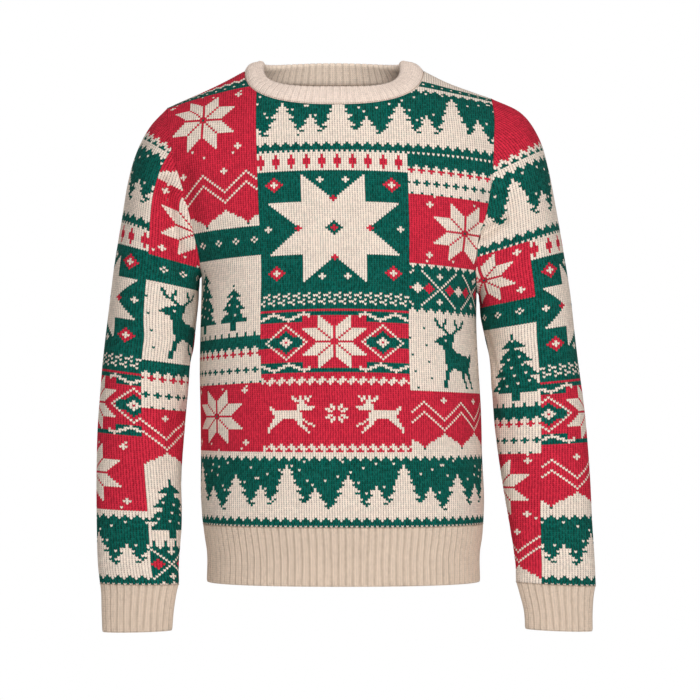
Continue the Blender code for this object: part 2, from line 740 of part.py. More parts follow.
def collar_band(panels, normals):
    """The doubled, ribbed neck band on the neck seam."""
    loop, loop_out = neck_loop(panels), neck_loop(normals)
    front_y, back_y = loop[:, 1].min(), loop[:, 1].max()
    places, depths = rib_places(COLLAR_RIBS, closed=True)
    seam = along_line(loop, places, COLLAR_RIBS, True)
    steps = np.linalg.norm(np.roll(loop, -1, axis=0) - loop, axis=1)
    run = np.concatenate([[0.0], np.cumsum(steps)])
    at = places / COLLAR_RIBS * run[-1]
    ring_out = np.concatenate([loop_out, loop_out[:1]])
    seam_out = unit(np.stack([np.interp(at, run, ring_out[:, k]) for k in range(3)], axis=1))

    centre = np.array([NECK_CENTRE, (front_y + back_y) / 2, 0.0])
    to_side = np.clip(np.abs(seam[:, 0] - centre[0]) / NECK_HALF_WIDTH, 0.0, 1.0) ** 2
    lean_ends = np.where(seam[:, 1] < centre[1], COLLAR_LEAN_FRONT, COLLAR_LEAN_BACK)
    lean = lean_ends + (COLLAR_LEAN_SIDE - lean_ends) * to_side
    rise = COLLAR_RISE + (COLLAR_SIDE_RISE - COLLAR_RISE) * to_side
    inward = (centre - seam) * np.array([1.0, 1.0, 0.0])
    stand = unit(inward) * lean[:, None] + rise[:, None] * np.array([0.0, 0.0, 1.0])
    per_rib = len(RIB_COLUMNS)
    along = unit(np.roll(seam, -per_rib, axis=0) - np.roll(seam, per_rib, axis=0))
    stand -= COLLAR_SQUARING * np.sum(stand * along, axis=1, keepdims=True) * along
    out = unit(np.cross(along, stand))
    out *= np.sign(np.sum(out * -inward, axis=1, keepdims=True))

    rows = []
    for share, below, groove in COLLAR_OUTSIDE:
        row = seam + share * stand - below * COLLAR_THICKNESS * out
        rows.append(row - (groove * GROOVE_DEPTH * depths)[:, None] * out)
    square = unit(np.cross(along, seam_out))
    square *= np.sign(np.sum(square * stand, axis=1, keepdims=True))
    foot = seam + HALF_GAP * square
    rows[0] = foot - (GROOVE_DEPTH * depths)[:, None] * seam_out
    plain = [
        (seam + share * stand - below * COLLAR_THICKNESS * out)[::per_rib]
        for share, below in COLLAR_INSIDE
    ]
    plain.append((foot - COLLAR_THICKNESS * seam_out)[::per_rib])
    return band_solid("collar", np.array(rows), np.array(plain))


def band_solid(name, outer, inner):
    """The collar's solid: ribbed rows up the outside, plain rows down the inside."""
    rows, columns = outer.shape[:2]
    plain_rows, plain = inner.shape[:2]
    first = rows * columns
    faces = [tuple(q) for q in grid_quads(rows, columns, True)]
    faces += [tuple(first + q) for q in grid_quads(plain_rows, plain, True)]
    top_out = [(rows - 1) * columns + i for i in range(columns)]
    top_in = [first + i for i in range(plain)]
    low_out = list(range(columns))
    low_in = [first + (plain_rows - 1) * plain + i for i in range(plain)]
    step = columns // plain
    faces += zip_rim(top_out, top_in, step, True)
    faces += [face[::-1] for face in zip_rim(low_out, low_in, step, True)]
    points = np.concatenate([outer.reshape(-1, 3), inner.reshape(-1, 3)])
    return solid(name, points, faces, RIB_BEIGE)


def seamed(grid, edges, closed=False):
    """A copy of a grid whose named edges stop half a seam gap short."""
    copy = grid.copy()
    for edge in edges:
        pull_in(copy, edge, closed and edge.endswith("row"))
    return copy


def in_plane(normals, ring):
    """Outward directions turned into the plane of their own ring."""
    down = down_sleeve(ring)
    return unit(normals - np.sum(normals * down, axis=1, keepdims=True) * down)


def down_sleeve(ring):
    """The direction square to a sleeve's ring."""
    quarter = len(ring) // 4
    return unit(np.cross(ring[0] - ring[2 * quarter], ring[quarter] - ring[3 * quarter]))


def main():
    """Builds the nine pieces of the sweater."""
    for old in list(bpy.data.objects):
        bpy.data.objects.remove(old, do_unlink=True)

    panels = {face: body_panel(face) for face in (FRONT, BACK)}
    sleeves = {
        side: press_sleeve(sleeve_rings(stations, side, armhole_loop(side, panels)))
        for side, stations in SLEEVES.items()
    }
    grids = [panels[FRONT], panels[BACK], sleeves[RIGHT], sleeves[LEFT]]
    flips = [False, True, True, False]
    found = shared_normals(grids, flips, [False, False, True, True])
    normals = {FRONT: found[0], BACK: found[1]}
    for face in (FRONT, BACK):
        normals[face][0, :, 2] = 0.0
        normals[face][0] = unit(normals[face][0])
    sleeve_normals = {RIGHT: found[2], LEFT: found[3]}
    for side in (RIGHT, LEFT):
        sleeve_normals[side][-1] = in_plane(sleeve_normals[side][-1], sleeves[side][-1])
        seam = armhole_directions(side, panels, sleeves[side], sleeve_normals[side][0])
        sleeve_normals[side][0] = seam
        column = -1 if side == LEFT else 0
        normals[FRONT][ROWS_BELOW_ARMPIT:, column] = seam[: ROWS_ABOVE_ARMPIT + 1][::-1]
        normals[BACK][ROWS_BELOW_ARMPIT:-1, column] = seam[ROWS_ABOVE_ARMPIT:]
        normals[BACK][-1, column] = seam[0]

    even_neck(panels, normals)

    sides = ("first_row", "last_row", "first_column", "last_column")
    for name, face in (("front", FRONT), ("back", BACK)):
        outer = seamed(panels[face], sides)
        inner = seamed(panels[face] - KNIT_THICKNESS * normals[face], sides)
        wall(name, outer, inner, CREAM, closed=False, flip=face == BACK)
    for name, side in (("sleeve_right", RIGHT), ("sleeve_left", LEFT)):
        ends = ("first_row", "last_row")
        outer = seamed(sleeves[side], ends, closed=True)
        inner = seamed(sleeves[side] - KNIT_THICKNESS * sleeve_normals[side], ends, closed=True)
        wall(name, outer, inner, CREAM, closed=True, flip=side == RIGHT)

    hem_band("hem_rib_front", FRONT)
    hem_band("hem_rib_back", BACK)
    cuff_band("cuff_right", CUFFS[RIGHT], RIGHT)
    cuff_band("cuff_left", CUFFS[LEFT], LEFT)
    collar_band(panels, normals)


main()
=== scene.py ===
"""The looks of a christmas sweater: knitted stitches, ribs, seams, yarn and studio.

The knitted panels are meshes with two slanted faces for each stitch, so every edge in the
colour pattern follows the stitches. They lie on the same surfaces as the part's solids.
Metres, +Z up; the front faces -Y and the wearer's left arm is at +X.
"""

import logging
import math
from dataclasses import dataclass
from enum import Enum, IntEnum
from typing import Callable, Sequence

import bpy
import numpy as np
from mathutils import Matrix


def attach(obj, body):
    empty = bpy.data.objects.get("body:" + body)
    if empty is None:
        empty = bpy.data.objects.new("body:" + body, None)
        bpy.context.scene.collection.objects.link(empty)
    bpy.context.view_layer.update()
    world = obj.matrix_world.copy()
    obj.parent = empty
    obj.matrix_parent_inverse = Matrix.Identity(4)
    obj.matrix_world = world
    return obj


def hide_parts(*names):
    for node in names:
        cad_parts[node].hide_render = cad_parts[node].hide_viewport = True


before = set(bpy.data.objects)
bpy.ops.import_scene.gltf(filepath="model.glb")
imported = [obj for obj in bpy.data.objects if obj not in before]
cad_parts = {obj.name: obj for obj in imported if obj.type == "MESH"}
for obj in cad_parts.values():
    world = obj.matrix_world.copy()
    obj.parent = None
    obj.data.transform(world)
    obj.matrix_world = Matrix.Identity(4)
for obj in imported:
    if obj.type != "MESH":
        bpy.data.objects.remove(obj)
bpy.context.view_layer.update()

Array = np.ndarray

LOG = logging.getLogger("sweater")
MM = 0.001

# The garment's driving sizes, the same as the solids'.
KNIT_THICKNESS = 2.8 * MM
RIB_THICKNESS = 3.4 * MM
GROOVE_DEPTH = 1.5 * MM
HEM_SEAM_HEIGHT = -586 * MM
HEM_HEIGHT = -661.5 * MM
SIDE_ROUNDNESS = 2.25
SHOULDER_FALL = 90 * MM
ARMHOLE_DEPTH_SHARE = 0.62
ARMHOLE_RISE = 90 * MM
ARMPIT_SHARPNESS = 12
BACK_WIDTH_EXTRA = 7 * MM
NECK_CENTRE = -7.5 * MM
NECK_HALF_WIDTH = 116 * MM
NECK_ROUNDNESS = 2.5
FRONT_NECK_DROP = 49.5 * MM
BACK_NECK_DROP = 9.5 * MM
COLLAR_RISE = 25.5 * MM
COLLAR_SIDE_RISE = 16 * MM
COLLAR_LEAN_SIDE = 21.5 * MM
COLLAR_LEAN_FRONT = 14 * MM
COLLAR_LEAN_BACK = 6 * MM
COLLAR_LEAN_LEFT = 7 * MM

# The knit's gauge: the width of a stitch and the height of a row.
BODY_WALE = 3.25 * MM
SLEEVE_WALE = 3.95 * MM
COURSE = 2.67 * MM
VALLEY_DEPTH = 0.55 * MM
CREST_HEIGHT = 0.20 * MM
# Rows and half stitches of the outer face for each one of the inner face.
INNER_STEP = 4

# The 2x1 ribs: the points across a pitch, how far a rib strays, and where in a pitch its three
# stitches meet. Two of them make the rib and the third its groove.
RIB_COLUMNS = 10
RIB_WANDER = 0.2 * MM
RIB_STITCH_EDGES = (0.0, 0.3, 0.6, 1.0)
# Where in a pitch the groove lies, and the split between the rib's two stitches, how wide each
# is, and the split's depth as a share of the groove's.
GROOVE_PLACE = 0.80
GROOVE_WIDTH = 0.13
SPLIT_PLACE = 0.30
SPLIT_WIDTH = 0.08
SPLIT_DEPTH = 0.26
# How far the last row is drawn in at a cast-off edge.
CAST_OFF_TURN = 0.6 * MM

# How far the rows of stitches sag at the sides of the chest.
ROW_DROOP = 12 * MM
# A column nearer to a seam than this share of half a stitch lies on the seam.
SLIVER = 0.3
# A point nearer to a seam than this lies on it.
ON_SEAM = 1e-3 * MM
# The empty margin round each piece's part of the square that its baked picture fills.
BAKE_MARGIN = 0.005


class Side(IntEnum):
    """The wearer's arms, as the sign of x."""

    RIGHT = -1
    LEFT = 1


class Face(IntEnum):
    """The body's halves, as the sign of y."""

    FRONT = -1
    BACK = 1


class Yarn(IntEnum):
    """What a stitch is knitted in. BACKING is the mixed reverse side of the jacquard."""

    CREAM = 0
    GREEN = 1
    RED = 2
    BACKING = 3


def table(columns: str, *rows: Sequence[float]) -> dict[str, Array]:
    """Reads rows of millimetres as named columns in metres.

    Args:
        columns: The columns' names, in order.
        rows: One sequence of millimetres for each row.

    Returns:
        Each column's values in metres, by name.
    """
    values = np.array(rows, dtype=float) * MM
    return {name: values[:, i] for i, name in enumerate(columns.split())}


# The body from the hem seam up: its middle, half its width, and how far its front and back
# stand from y = 0.
BODY = table(
    "height centre half_width front back",
    (-662, 4.5, 177.5, 116, 110),
    (-622, 4.5, 177.5, 116, 110),
    (-602, 4.5, 180.5, 119, 113),
    (-586, 4.0, 182.0, 122, 116),
    (-560, 3.5, 183.5, 124, 118),
    (-500, 2.0, 182.5, 124, 118),
    (-440, 1.0, 182.0, 124, 117),
    (-390, -1.0, 181.0, 124, 117),
    (-330, -2.0, 179.0, 125, 118),
    (-268, -1.0, 178.5, 125, 120),
    (-210, -2.0, 178.5, 124, 122),
    (-150, -4.0, 178.5, 119, 121),
    (-100, -5.5, 178.5, 110, 114),
    (-50, -7.0, 178.5, 93, 98),
    (0, -7.5, 178.5, 70, 73),
    (30, -7.5, 178.5, 55, 58),
)

SHOULDER_LINE = table(
    "across height",
    (-235, -53),
    (-222, -46),
    (-201, -36.5),
    (-177, -26),
    (-152, -14),
    (-124, 1),
    (-70, 28),
    (-8, 42),
    (55, 28),
    (109, 1),
    (137, -13),
    (170, -25.5),
    (200, -36),
    (225, -46.5),
)

# Each armhole's front seam from the armpit up, as a distance to the side of x = 0.
ARMHOLES = {
    Side.RIGHT: table(
        "height out",
        (-266, 179.5),
        (-250, 180.5),
        (-210, 188),
        (-153, 202),
        (-112, 214),
        (-80, 220.5),
        (-46, 224),
    ),
    Side.LEFT: table(
        "height out",
        (-287, 177.5),
        (-265, 175),
        (-215, 178.5),
        (-186, 187.5),
        (-153, 193.5),
        (-86, 198),
        (-61, 199),
        (-34, 196),
    ),
}

# Sleeve rings from the armhole to the cuff seam: each ring's outer and inner end, half its
# depth from front to back, and how far its middle hangs forward.
SLEEVES = {
    Side.RIGHT: table(
        "outer_x outer_z inner_x inner_z half_depth forward",
        (224, -46, 179.5, -266, 74, 0),
        (247, -71, 181.2, -266.8, 73, 0),
        (264, -104, 182.2, -269, 72, 0),
        (275.5, -144, 182.5, -273.5, 70, 0),
        (284.5, -199, 183.0, -282, 67, 0),
        (293, -251, 184.0, -297, 64, 0),
        (299.5, -303, 186.5, -324, 60, 0),
        (304.5, -344, 189.0, -359, 56, 1),
        (308.5, -381, 193.0, -388, 53, 2),
        (311.5, -420, 198.0, -423, 49, 4),
        (314.5, -465, 202.0, -468, 44, 7),
        (315.5, -524, 205.8, -527, 37, 12),
        (315, -582, 205.0, -583, 32, 16),
        (313.5, -634, 208.5, -635, 29, 19),
        (310.5, -663, 208.5, -664, 26.5, 20),
    ),
    Side.LEFT: table(
        "outer_x outer_z inner_x inner_z half_depth forward",
        (196, -34, 177.5, -287, 74, 0),
        (235, -53, 179.3, -287.8, 73, 0),
        (258, -85, 180.3, -290, 72, 0),
        (270.5, -126, 180.7, -294.5, 70, 0),
        (281, -180, 181.2, -301, 67, 0),
        (290.5, -235, 182.0, -309, 64, 0),
        (299, -288, 183.5, -324, 60, 0),
        (305, -342, 188.0, -350, 56, 1),
        (309.5, -379, 193.0, -384, 53, 2),
        (315, -420, 198.0, -424, 49, 4),
        (319.5, -462, 201.5, -466, 44, 7),
        (324, -524, 209.5, -526, 37, 12),
        (326.5, -582, 219.0, -583, 32, 16),
        (329.5, -632, 226.5, -632, 29, 19),
        (331, -666, 228.0, -661, 26.5, 20),
    ),
}
CUFFS = {
    Side.RIGHT: table(
        "outer_x outer_z inner_x inner_z half_depth forward",
        (310.5, -663, 208.5, -664, 26.5, 20),
        (309, -677, 211.5, -676, 25, 20.5),
        (308.5, -700, 215, -699, 24, 21),
        (307.5, -726, 217, -724, 24, 22),
    ),
    Side.LEFT: table(
        "outer_x outer_z inner_x inner_z half_depth forward",
        (331, -666, 228.0, -661, 26.5, 20),
        (328.5, -679, 232, -675, 25, 20.5),
        (327, -701, 238, -699, 24, 21),
        (327, -725, 239.5, -722, 24, 22),
    ),
}

# The rows of stitches on each sleeve run down towards the body: their tilt in thousandths of
# a radian, which table turns to radians, by the height at which they cross the sleeve's middle.
ROW_TILT = {
    Side.RIGHT: table(
        "height tilt",
        (-664, 10),
        (-583, 35),
        (-413, 115),
        (-257, 237),
        (-192, 394),
        (-69, 640),
        (60, 700),
    ),
    Side.LEFT: table(
        "height tilt",
        (-664, -49),
        (-583, 0),
        (-450, 60),
        (-340, 150),
        (-220, 310),
        (-69, 560),
        (60, 640),
    ),
}


@dataclass(frozen=True)
class Fold:
    """A soft trough or, with a negative depth, a ridge along a straight line.

    On the body, and in SLEEVE_CREASES, the line runs in the front view, in millimetres. In
    SLEEVE_FOLDS it runs from share to share of the sleeve's length and of the way round it,
    both in hundredths. The depth is in millimetres and the spread in the line's own unit.
    """

    start: tuple[float, float]
    end: tuple[float, float]
    depth: float
    spread: float


BODY_FOLDS = {
    Face.FRONT: (
        Fold((-203, -140), (-184, -235), 12, 13),
        Fold((190, -165), (170, -228), 10, 12),
        Fold((-150, -540), (-60, -556), 3, 16),
        Fold((70, -556), (150, -536), 3, 16),
        Fold((-196, -132), (-176, -262), 2.5, 8),
        Fold((-172, -240), (-128, -300), 2.0, 13),
        Fold((160, -236), (120, -290), 2.2, 12),
        Fold((172, -250), (150, -345), 1.6, 14),
        Fold((-166, -330), (-150, -430), 1.5, 15),
        Fold((-120, -566), (-20, -574), 1.6, 9),
        Fold((10, -575), (120, -563), 1.8, 8),
        Fold((-160, -500), (-110, -523), 1.6, 14),
        Fold((146, -470), (118, -512), 1.7, 15),
        Fold((-90, -60), (-70, -110), 1.5, 16),
        Fold((84, -62), (66, -112), 1.5, 15),
        Fold((-178, -70), (-150, -110), 1.6, 14),
    ),
    Face.BACK: (
        Fold((-198, -150), (-180, -225), 6, 18),
        Fold((190, -160), (172, -235), 6, 18),
        Fold((-60, -75), (60, -78), 3, 24),
        Fold((-120, -548), (40, -560), 3, 18),
        Fold((-165, -235), (-120, -285), 2.2, 13),
        Fold((158, -240), (118, -300), 2.0, 12),
        Fold((-40, -470), (30, -500), 2.0, 20),
        Fold((60, -566), (150, -552), 2.2, 10),
        Fold((-150, -566), (-70, -575), 1.8, 9),
        Fold((-20, -180), (-60, -330), 1.4, 22),
    ),
}
SLEEVE_FOLDS = (
    Fold((12, 40), (33, 23), 6, 5.5),
    Fold((48, 46), (56, 33), 4, 4.5),
    Fold((56, 52), (64, 64), 4, 4.5),
    Fold((15, 60), (36, 74), 5, 6),
    Fold((22, 47), (38, 32), 2.2, 2.6),
    Fold((30, 48), (44, 40), 2.4, 3.0),
    Fold((42, 30), (50, 21), 1.8, 3.2),
    Fold((50, 47), (61, 41), 2.6, 2.4),
    Fold((60, 28), (70, 38), 2.0, 2.8),
    Fold((66, 46), (78, 36), 1.8, 2.6),
    Fold((82, 20), (88, 34), 1.4, 2.4),
    Fold((90, 12), (93, 40), 1.5, 1.8),
    Fold((40, 62), (48, 78), 2.2, 3.0),
    Fold((70, 58), (80, 72), 2.0, 3.0),
)
FOLD_MARGIN = 20 * MM

# Creases on the front of the sleeves.
SLEEVE_CREASES = {
    Side.RIGHT: (
        Fold((-226, -148), (-202, -262), 9.5, 9.0),
        Fold((-226, -398), (-203, -413), 4.5, 7),
        Fold((-230, -428), (-206, -440), -1.6, 9),
        Fold((-218, -455), (-204, -480), 4.0, 8),
        Fold((-300, -330), (-270, -345), 1.5, 12),
        Fold((-225, -300), (-206, -330), 2.2, 12),
    ),
    Side.LEFT: (
        Fold((166, -225), (210, -195), 9.5, 6.5),
        Fold((176, -204), (206, -180), -3.0, 9),
        Fold((200, -222), (232, -214), -2.0, 10),
        Fold((184, -250), (206, -300), 2.6, 12),
        Fold((205, -418), (236, -408), 3.0, 8),
        Fold((212, -440), (240, -432), -1.5, 9),
        Fold((222, -500), (236, -530), 2.4, 10),
    ),
}


def read(source: dict, column: str, at: Array, along: str = "height") -> Array:
    """Reads a table's column at any place, on a smooth curve through its rows.

    Args:
        source: The table.
        column: The name of the values' column.
        at: Where to read it.
        along: The name of the column that holds the places.

    Returns:
        The values there.
    """
    x, y = source[along], source[column]
    slope = np.gradient(y, x)
    at = np.clip(at, x[0], x[-1])
    i = np.clip(np.searchsorted(x, at, side="right") - 1, 0, len(x) - 2)
    step = x[i + 1] - x[i]
    t = (at - x[i]) / step
    return (
        (2 * t**3 - 3 * t**2 + 1) * y[i]
        + (t**3 - 2 * t**2 + t) * step * slope[i]
        + (3 * t**2 - 2 * t**3) * y[i + 1]
        + (t**3 - t**2) * step * slope[i + 1]
    )


def unit(vectors: Array) -> Array:
    """Gives vectors the length one."""
    return vectors / np.maximum(np.linalg.norm(vectors, axis=-1, keepdims=True), 1e-12)


def smooth_step(low: float, high: float, at: Array) -> Array:
    """Rises softly from 0 at low to 1 at high."""
    t = np.clip((at - low) / (high - low), 0.0, 1.0)
    return t * t * (3 - 2 * t)


def run_along(points: Array) -> Array:
    """Measures the way along a line of points, from its first."""
    steps = np.linalg.norm(np.diff(points, axis=0), axis=1)
    return np.concatenate([[0.0], np.cumsum(steps)])


def close_seams(grid: Array, past: Array, half: int) -> None:
    """Puts the columns past a seam on one place a row, the first that lies on the seam.

    Args:
        grid: Values by row and column, changed in place.
        past: Which of them lie on a seam or past it.
        half: The middle column.
    """
    order = np.arange(half + 1)
    for side in (-1, 1):
        columns = half + side * order
        reached = np.maximum.accumulate(past[:, columns], axis=1)
        first = np.argmax(reached, axis=1)
        whole = reached.any(axis=1)
        source = np.where(reached, np.minimum(order[None, :], first[:, None]), order[None, :])
        rows = np.nonzero(whole)[0][:, None]
        grid[rows, columns[None, :]] = grid[rows, half + side * source[whole]]


def fold_depth(folds: Sequence[Fold], places: Array, scale: float, turns: bool) -> Array:
    """Adds up how far folds press each place in.

    Args:
        folds: The folds.
        places: Pairs in the folds' own coordinates times scale.
        scale: What one unit of the folds' coordinates is.
        turns: Whether the second coordinate goes round once from 0 to 1.

    Returns:
        The depth in metres at each place.
    """
    total = np.zeros(places.shape[:-1])
    for fold in folds:
        start = np.array(fold.start) * scale
        run = np.array(fold.end) * scale - start
        offset = places - start
        if turns:
            offset[..., 1] = (offset[..., 1] + 0.5) % 1.0 - 0.5
        share = np.clip(offset @ run / (run @ run), 0.0, 1.0)
        away = np.linalg.norm(offset - share[..., None] * run, axis=-1)
        total += fold.depth * MM * np.exp(-((away / (fold.spread * scale)) ** 2))
    return total


@dataclass(frozen=True)
class Body:
    """The front or back panel: its surface, and how its rows and columns of stitches lie.

    Columns are followed up to column_top and kept inside the armhole up to shoulder_top. Rows
    sag at the sides by ROW_DROOP at droop_reach from the middle. That starts over the first
    pair of heights and ends over the second one. Over the last seam_arc_fall below the
    shoulder line, rows follow the surface's curve.
    """

    face: Face
    column_top: float = -60 * MM
    shoulder_top: float = -30 * MM
    seam_arc_fall: float = 30 * MM
    droop_reach: float = 180 * MM
    droop_starts: tuple[float, float] = (-500 * MM, -350 * MM)
    droop_ends: tuple[float, float] = (-30 * MM, -150 * MM)
    last_row_share: float = 0.25
    levels: int = 140
    tip_levels: int = 12
    across: int = 220
    samples: int = 320

    @property
    def depths(self) -> str:
        """Names the column of BODY with this panel's depths."""
        return "front" if self.face == Face.FRONT else "back"

    @property
    def neck_drop(self) -> float:
        """Gives how far the neck seam drops at its middle."""
        return FRONT_NECK_DROP if self.face == Face.FRONT else BACK_NECK_DROP

    def build(self, name: str, blocks: Sequence["Block"], yarn: bpy.types.Material) -> bpy.types.Object:
        """Knits the panel.

        Args:
            name: The object's name.
            blocks: Its patchwork.
            yarn: Its material.

        Returns:
            The object.
        """
        grid = self.stitches(2 * BODY_HALF)
        cells = chart_of(BODY_HALF, len(grid), blocks)
        return knit_wall(name, grid, cells, tube=False, flip=self.face == Face.BACK).build(yarn)

    def armhole_out(self, side: Side, height: Array) -> Array:
        """Gives how far an armhole's seam lies to the side at a height."""
        source = ARMHOLES[side]
        low, high = source["height"][0], source["height"][-1]
        share = np.clip((height - low) / (high - low), 0.0, 1.0)
        extra = BACK_WIDTH_EXTRA * np.sin(math.pi * share) if self.face == Face.BACK else 0.0
        return read(source, "out", height) + extra

    def reach(self, side: Side, height: Array) -> Array:
        """Gives the body's reach to one side of its middle at a height."""
        centre = read(BODY, "centre", height)
        above = self.armhole_out(side, height) - side * centre
        armpit = ARMHOLES[side]["height"][0]
        return np.where(height > armpit, above, read(BODY, "half_width", height))

    def depth(self, x: Array, z: Array) -> Array:
        """Gives how far the surface stands from y = 0, without its folds."""
        centre = read(BODY, "centre", z)
        left = x > centre
        reach = np.where(left, self.reach(Side.LEFT, z), self.reach(Side.RIGHT, z))
        armpit = np.where(left, ARMHOLES[Side.LEFT]["height"][0], ARMHOLES[Side.RIGHT]["height"][0])
        rise = np.clip((z - armpit) / ARMHOLE_RISE, 0.0, 1.0)
        edge = ARMHOLE_DEPTH_SHARE * np.sqrt(1 - (1 - rise) ** 2)
        across = np.clip(np.abs(x - centre) / reach, 0.0, 1.0)
        spread = SIDE_ROUNDNESS + ARMPIT_SHARPNESS * (1 - rise) ** 2
        lift = edge**SIDE_ROUNDNESS * across**spread
        section = np.clip(1 - across**SIDE_ROUNDNESS + lift, 0.0, None) ** (1 / SIDE_ROUNDNESS)
        fall = np.clip((self.shoulder(x) - z) / SHOULDER_FALL, 0.0, 1.0)
        return read(BODY, self.depths, z) * section * np.sqrt(1 - (1 - fall) ** 2)

    def place(self, x: Array, z: Array) -> Array:
        """Puts points of the front view on the surface, with its folds."""
        depth = self.depth(x, z)
        flat = np.stack([x, z], axis=-1)
        pressed = fold_depth(BODY_FOLDS[self.face], flat, MM, turns=False)
        pressed = pressed * smooth_step(HEM_SEAM_HEIGHT, HEM_SEAM_HEIGHT + 10 * MM, z)
        return np.stack([x, self.face * (depth - pressed * depth / (depth + FOLD_MARGIN)), z], axis=-1)

    @staticmethod
    def shoulder(x: Array) -> Array:
        """Gives the shoulder line's height."""
        return read(SHOULDER_LINE, "height", x, "across")

    def neck_height(self, x: Array) -> Array:
        """Gives the neck seam's height, or a height out of reach beside the neck."""
        share = np.clip((x - NECK_CENTRE) / NECK_HALF_WIDTH, -1.0, 1.0)
        turn = np.arccos(np.sign(share) * np.abs(share) ** (NECK_ROUNDNESS / 2))
        ends = self.shoulder(NECK_CENTRE + NECK_HALF_WIDTH * np.array([-1.0, 1.0]))
        base = ends[0] + (ends[1] - ends[0]) * (math.pi - turn) / math.pi
        height = base - self.neck_drop * np.sin(turn) ** (2 / NECK_ROUNDNESS)
        return np.where(np.abs(share) < 1.0, height, 1.0)

    @staticmethod
    def height_at_way(x: Array, way: Array) -> Array:
        """Gives the height at a way down from the shoulder line, over its curve."""
        quarter = SHOULDER_FALL * math.pi / 2
        curved = SHOULDER_FALL * (1 - np.cos(np.minimum(way, quarter) / SHOULDER_FALL))
        return Body.shoulder(x) - curved - np.maximum(way - quarter, 0.0)

    def rows_at(self, x: Array, z: Array) -> Array:
        """Gives how much knitting lies between the hem seam and a place.

        Args:
            x: The place across.
            z: Its height.

        Returns:
            The height of the rows below it, in metres of knitting.
        """
        levels = np.linspace(HEM_SEAM_HEIGHT, BODY["height"][-1], 200)
        profile = np.stack([read(BODY, self.depths, levels), levels], axis=1)
        up = np.interp(z, levels, run_along(profile))
        across = np.abs(x - read(BODY, "centre", z)) / self.droop_reach
        window = smooth_step(*self.droop_starts, z) * smooth_step(*self.droop_ends, z)
        fall = np.clip(self.shoulder(x) - z, 0.0, self.seam_arc_fall)
        whole = math.acos(1 - self.seam_arc_fall / SHOULDER_FALL)
        arc = SHOULDER_FALL * (whole - np.arccos(1 - fall / SHOULDER_FALL))
        return up + ROW_DROOP * across**2 * window + arc - (self.seam_arc_fall - fall)

    def column_table(self, offsets: Array) -> tuple[Array, Array]:
        """Finds where columns of stitches stand across the front view.

        Args:
            offsets: Each column's way round the body from its middle, positive to the left.

        Returns:
            Heights, and x for each height and column. Beyond a seam, x stays on it.
        """
        levels = np.linspace(HEM_SEAM_HEIGHT, self.column_top, self.levels)
        out = np.sin(np.linspace(0.0, math.pi / 2, self.across)) ** (2 / SIDE_ROUNDNESS)
        found = np.empty((self.levels, len(offsets)))
        margin = SLIVER * (offsets[1] - offsets[0])
        for k, level in enumerate(levels):
            z = np.full(self.across, level)
            centre = read(BODY, "centre", level)
            for side in Side:
                x = centre + side * self.reach(side, z) * out
                way = run_along(np.stack([x, self.depth(x, z)], axis=1))
                mine = offsets * side >= 0
                wanted = offsets[mine] * side
                wanted[way[-1] - wanted < margin] = way[-1]
                found[k, mine] = np.interp(wanted, way, x)
        tips = np.linspace(self.column_top, self.shoulder_top, self.tip_levels + 1)[1:]
        above = np.empty((len(tips), len(offsets)))
        for side in Side:
            mine = offsets * side >= 0
            seam = self.armhole_out(side, np.append(self.column_top, tips))
            out = side * found[-1, mine]
            on_seam = out > seam[0] - ON_SEAM
            above[:, mine] = side * np.where(on_seam, seam[1:, None], np.minimum(out, seam[1:, None]))
        return np.concatenate([levels, tips]), np.concatenate([found, above])

    def stitches(self, half: int) -> Array:
        """Lays out the panel's grid of stitch corners.

        Args:
            half: The number of half stitches to either side of the middle.

        Returns:
            Points by row and half stitch. Those past a seam lie on it.
        """
        offsets = np.arange(-half, half + 1) * BODY_WALE / 2
        levels, found = self.column_table(offsets)
        lines = [self.column_line(levels, places) for places in found.T]
        rows = math.ceil(max(line[0][-1] for line in lines) / COURSE) + 1
        rows += -rows % INNER_STEP
        grid_x = np.empty((rows + 1, len(offsets)))
        grid_z = np.empty_like(grid_x)
        for i, (knitted, way, x) in enumerate(lines):
            shift = 0.5 if (i - half) % 2 else 0.0
            wanted = np.clip((np.arange(rows + 1) - shift) * COURSE, 0.0, knitted[-1])
            close = knitted[-1] - wanted < self.last_row_share * COURSE
            wanted[close] = knitted[-1]
            grid_x[:, i] = np.interp(wanted, knitted, x)
            grid_z[:, i] = self.height_at_way(grid_x[:, i], np.interp(wanted, knitted, way))
        seams = [np.interp(grid_z, levels, found[:, column]) for column in (0, -1)]
        past = np.minimum(*(np.abs(grid_x - seam) for seam in seams)) < ON_SEAM
        for grid in (grid_x, grid_z):
            close_seams(grid, past, half)
        return self.place(grid_x, grid_z)

    def column_line(self, levels: Array, places: Array) -> tuple[Array, ...]:
        """Follows one column of stitches from the hem seam to the shoulder or the neck.

        Args:
            levels: Heights.
            places: The column's x at each of them.

        Returns:
            The knitting below each sample, its way down from the shoulder line, and its x.
        """
        whole = SHOULDER_FALL * (math.pi / 2 - 1) + self.shoulder(places[0]) - HEM_SEAM_HEIGHT
        way = whole * (1 - np.linspace(0.0, 1.0, self.samples))
        x = np.full(self.samples, places[0])
        for _ in range(4):
            z = self.height_at_way(x, way)
            x = np.interp(z, levels, places)
        z = self.height_at_way(x, way)
        knitted = np.maximum.accumulate(self.rows_at(x, z))
        knitted[0] = 0.0
        over = np.nonzero(z > self.neck_height(x))[0]
        if len(over):
            first = over[0]
            gap = z - self.neck_height(x)
            share = gap[first - 1] / (gap[first - 1] - gap[first])
            cut = []
            for values in (knitted, way, x):
                end = values[first - 1] + share * (values[first] - values[first - 1])
                cut.append(np.append(values[:first], end))
            return tuple(cut)
        return knitted, way, x

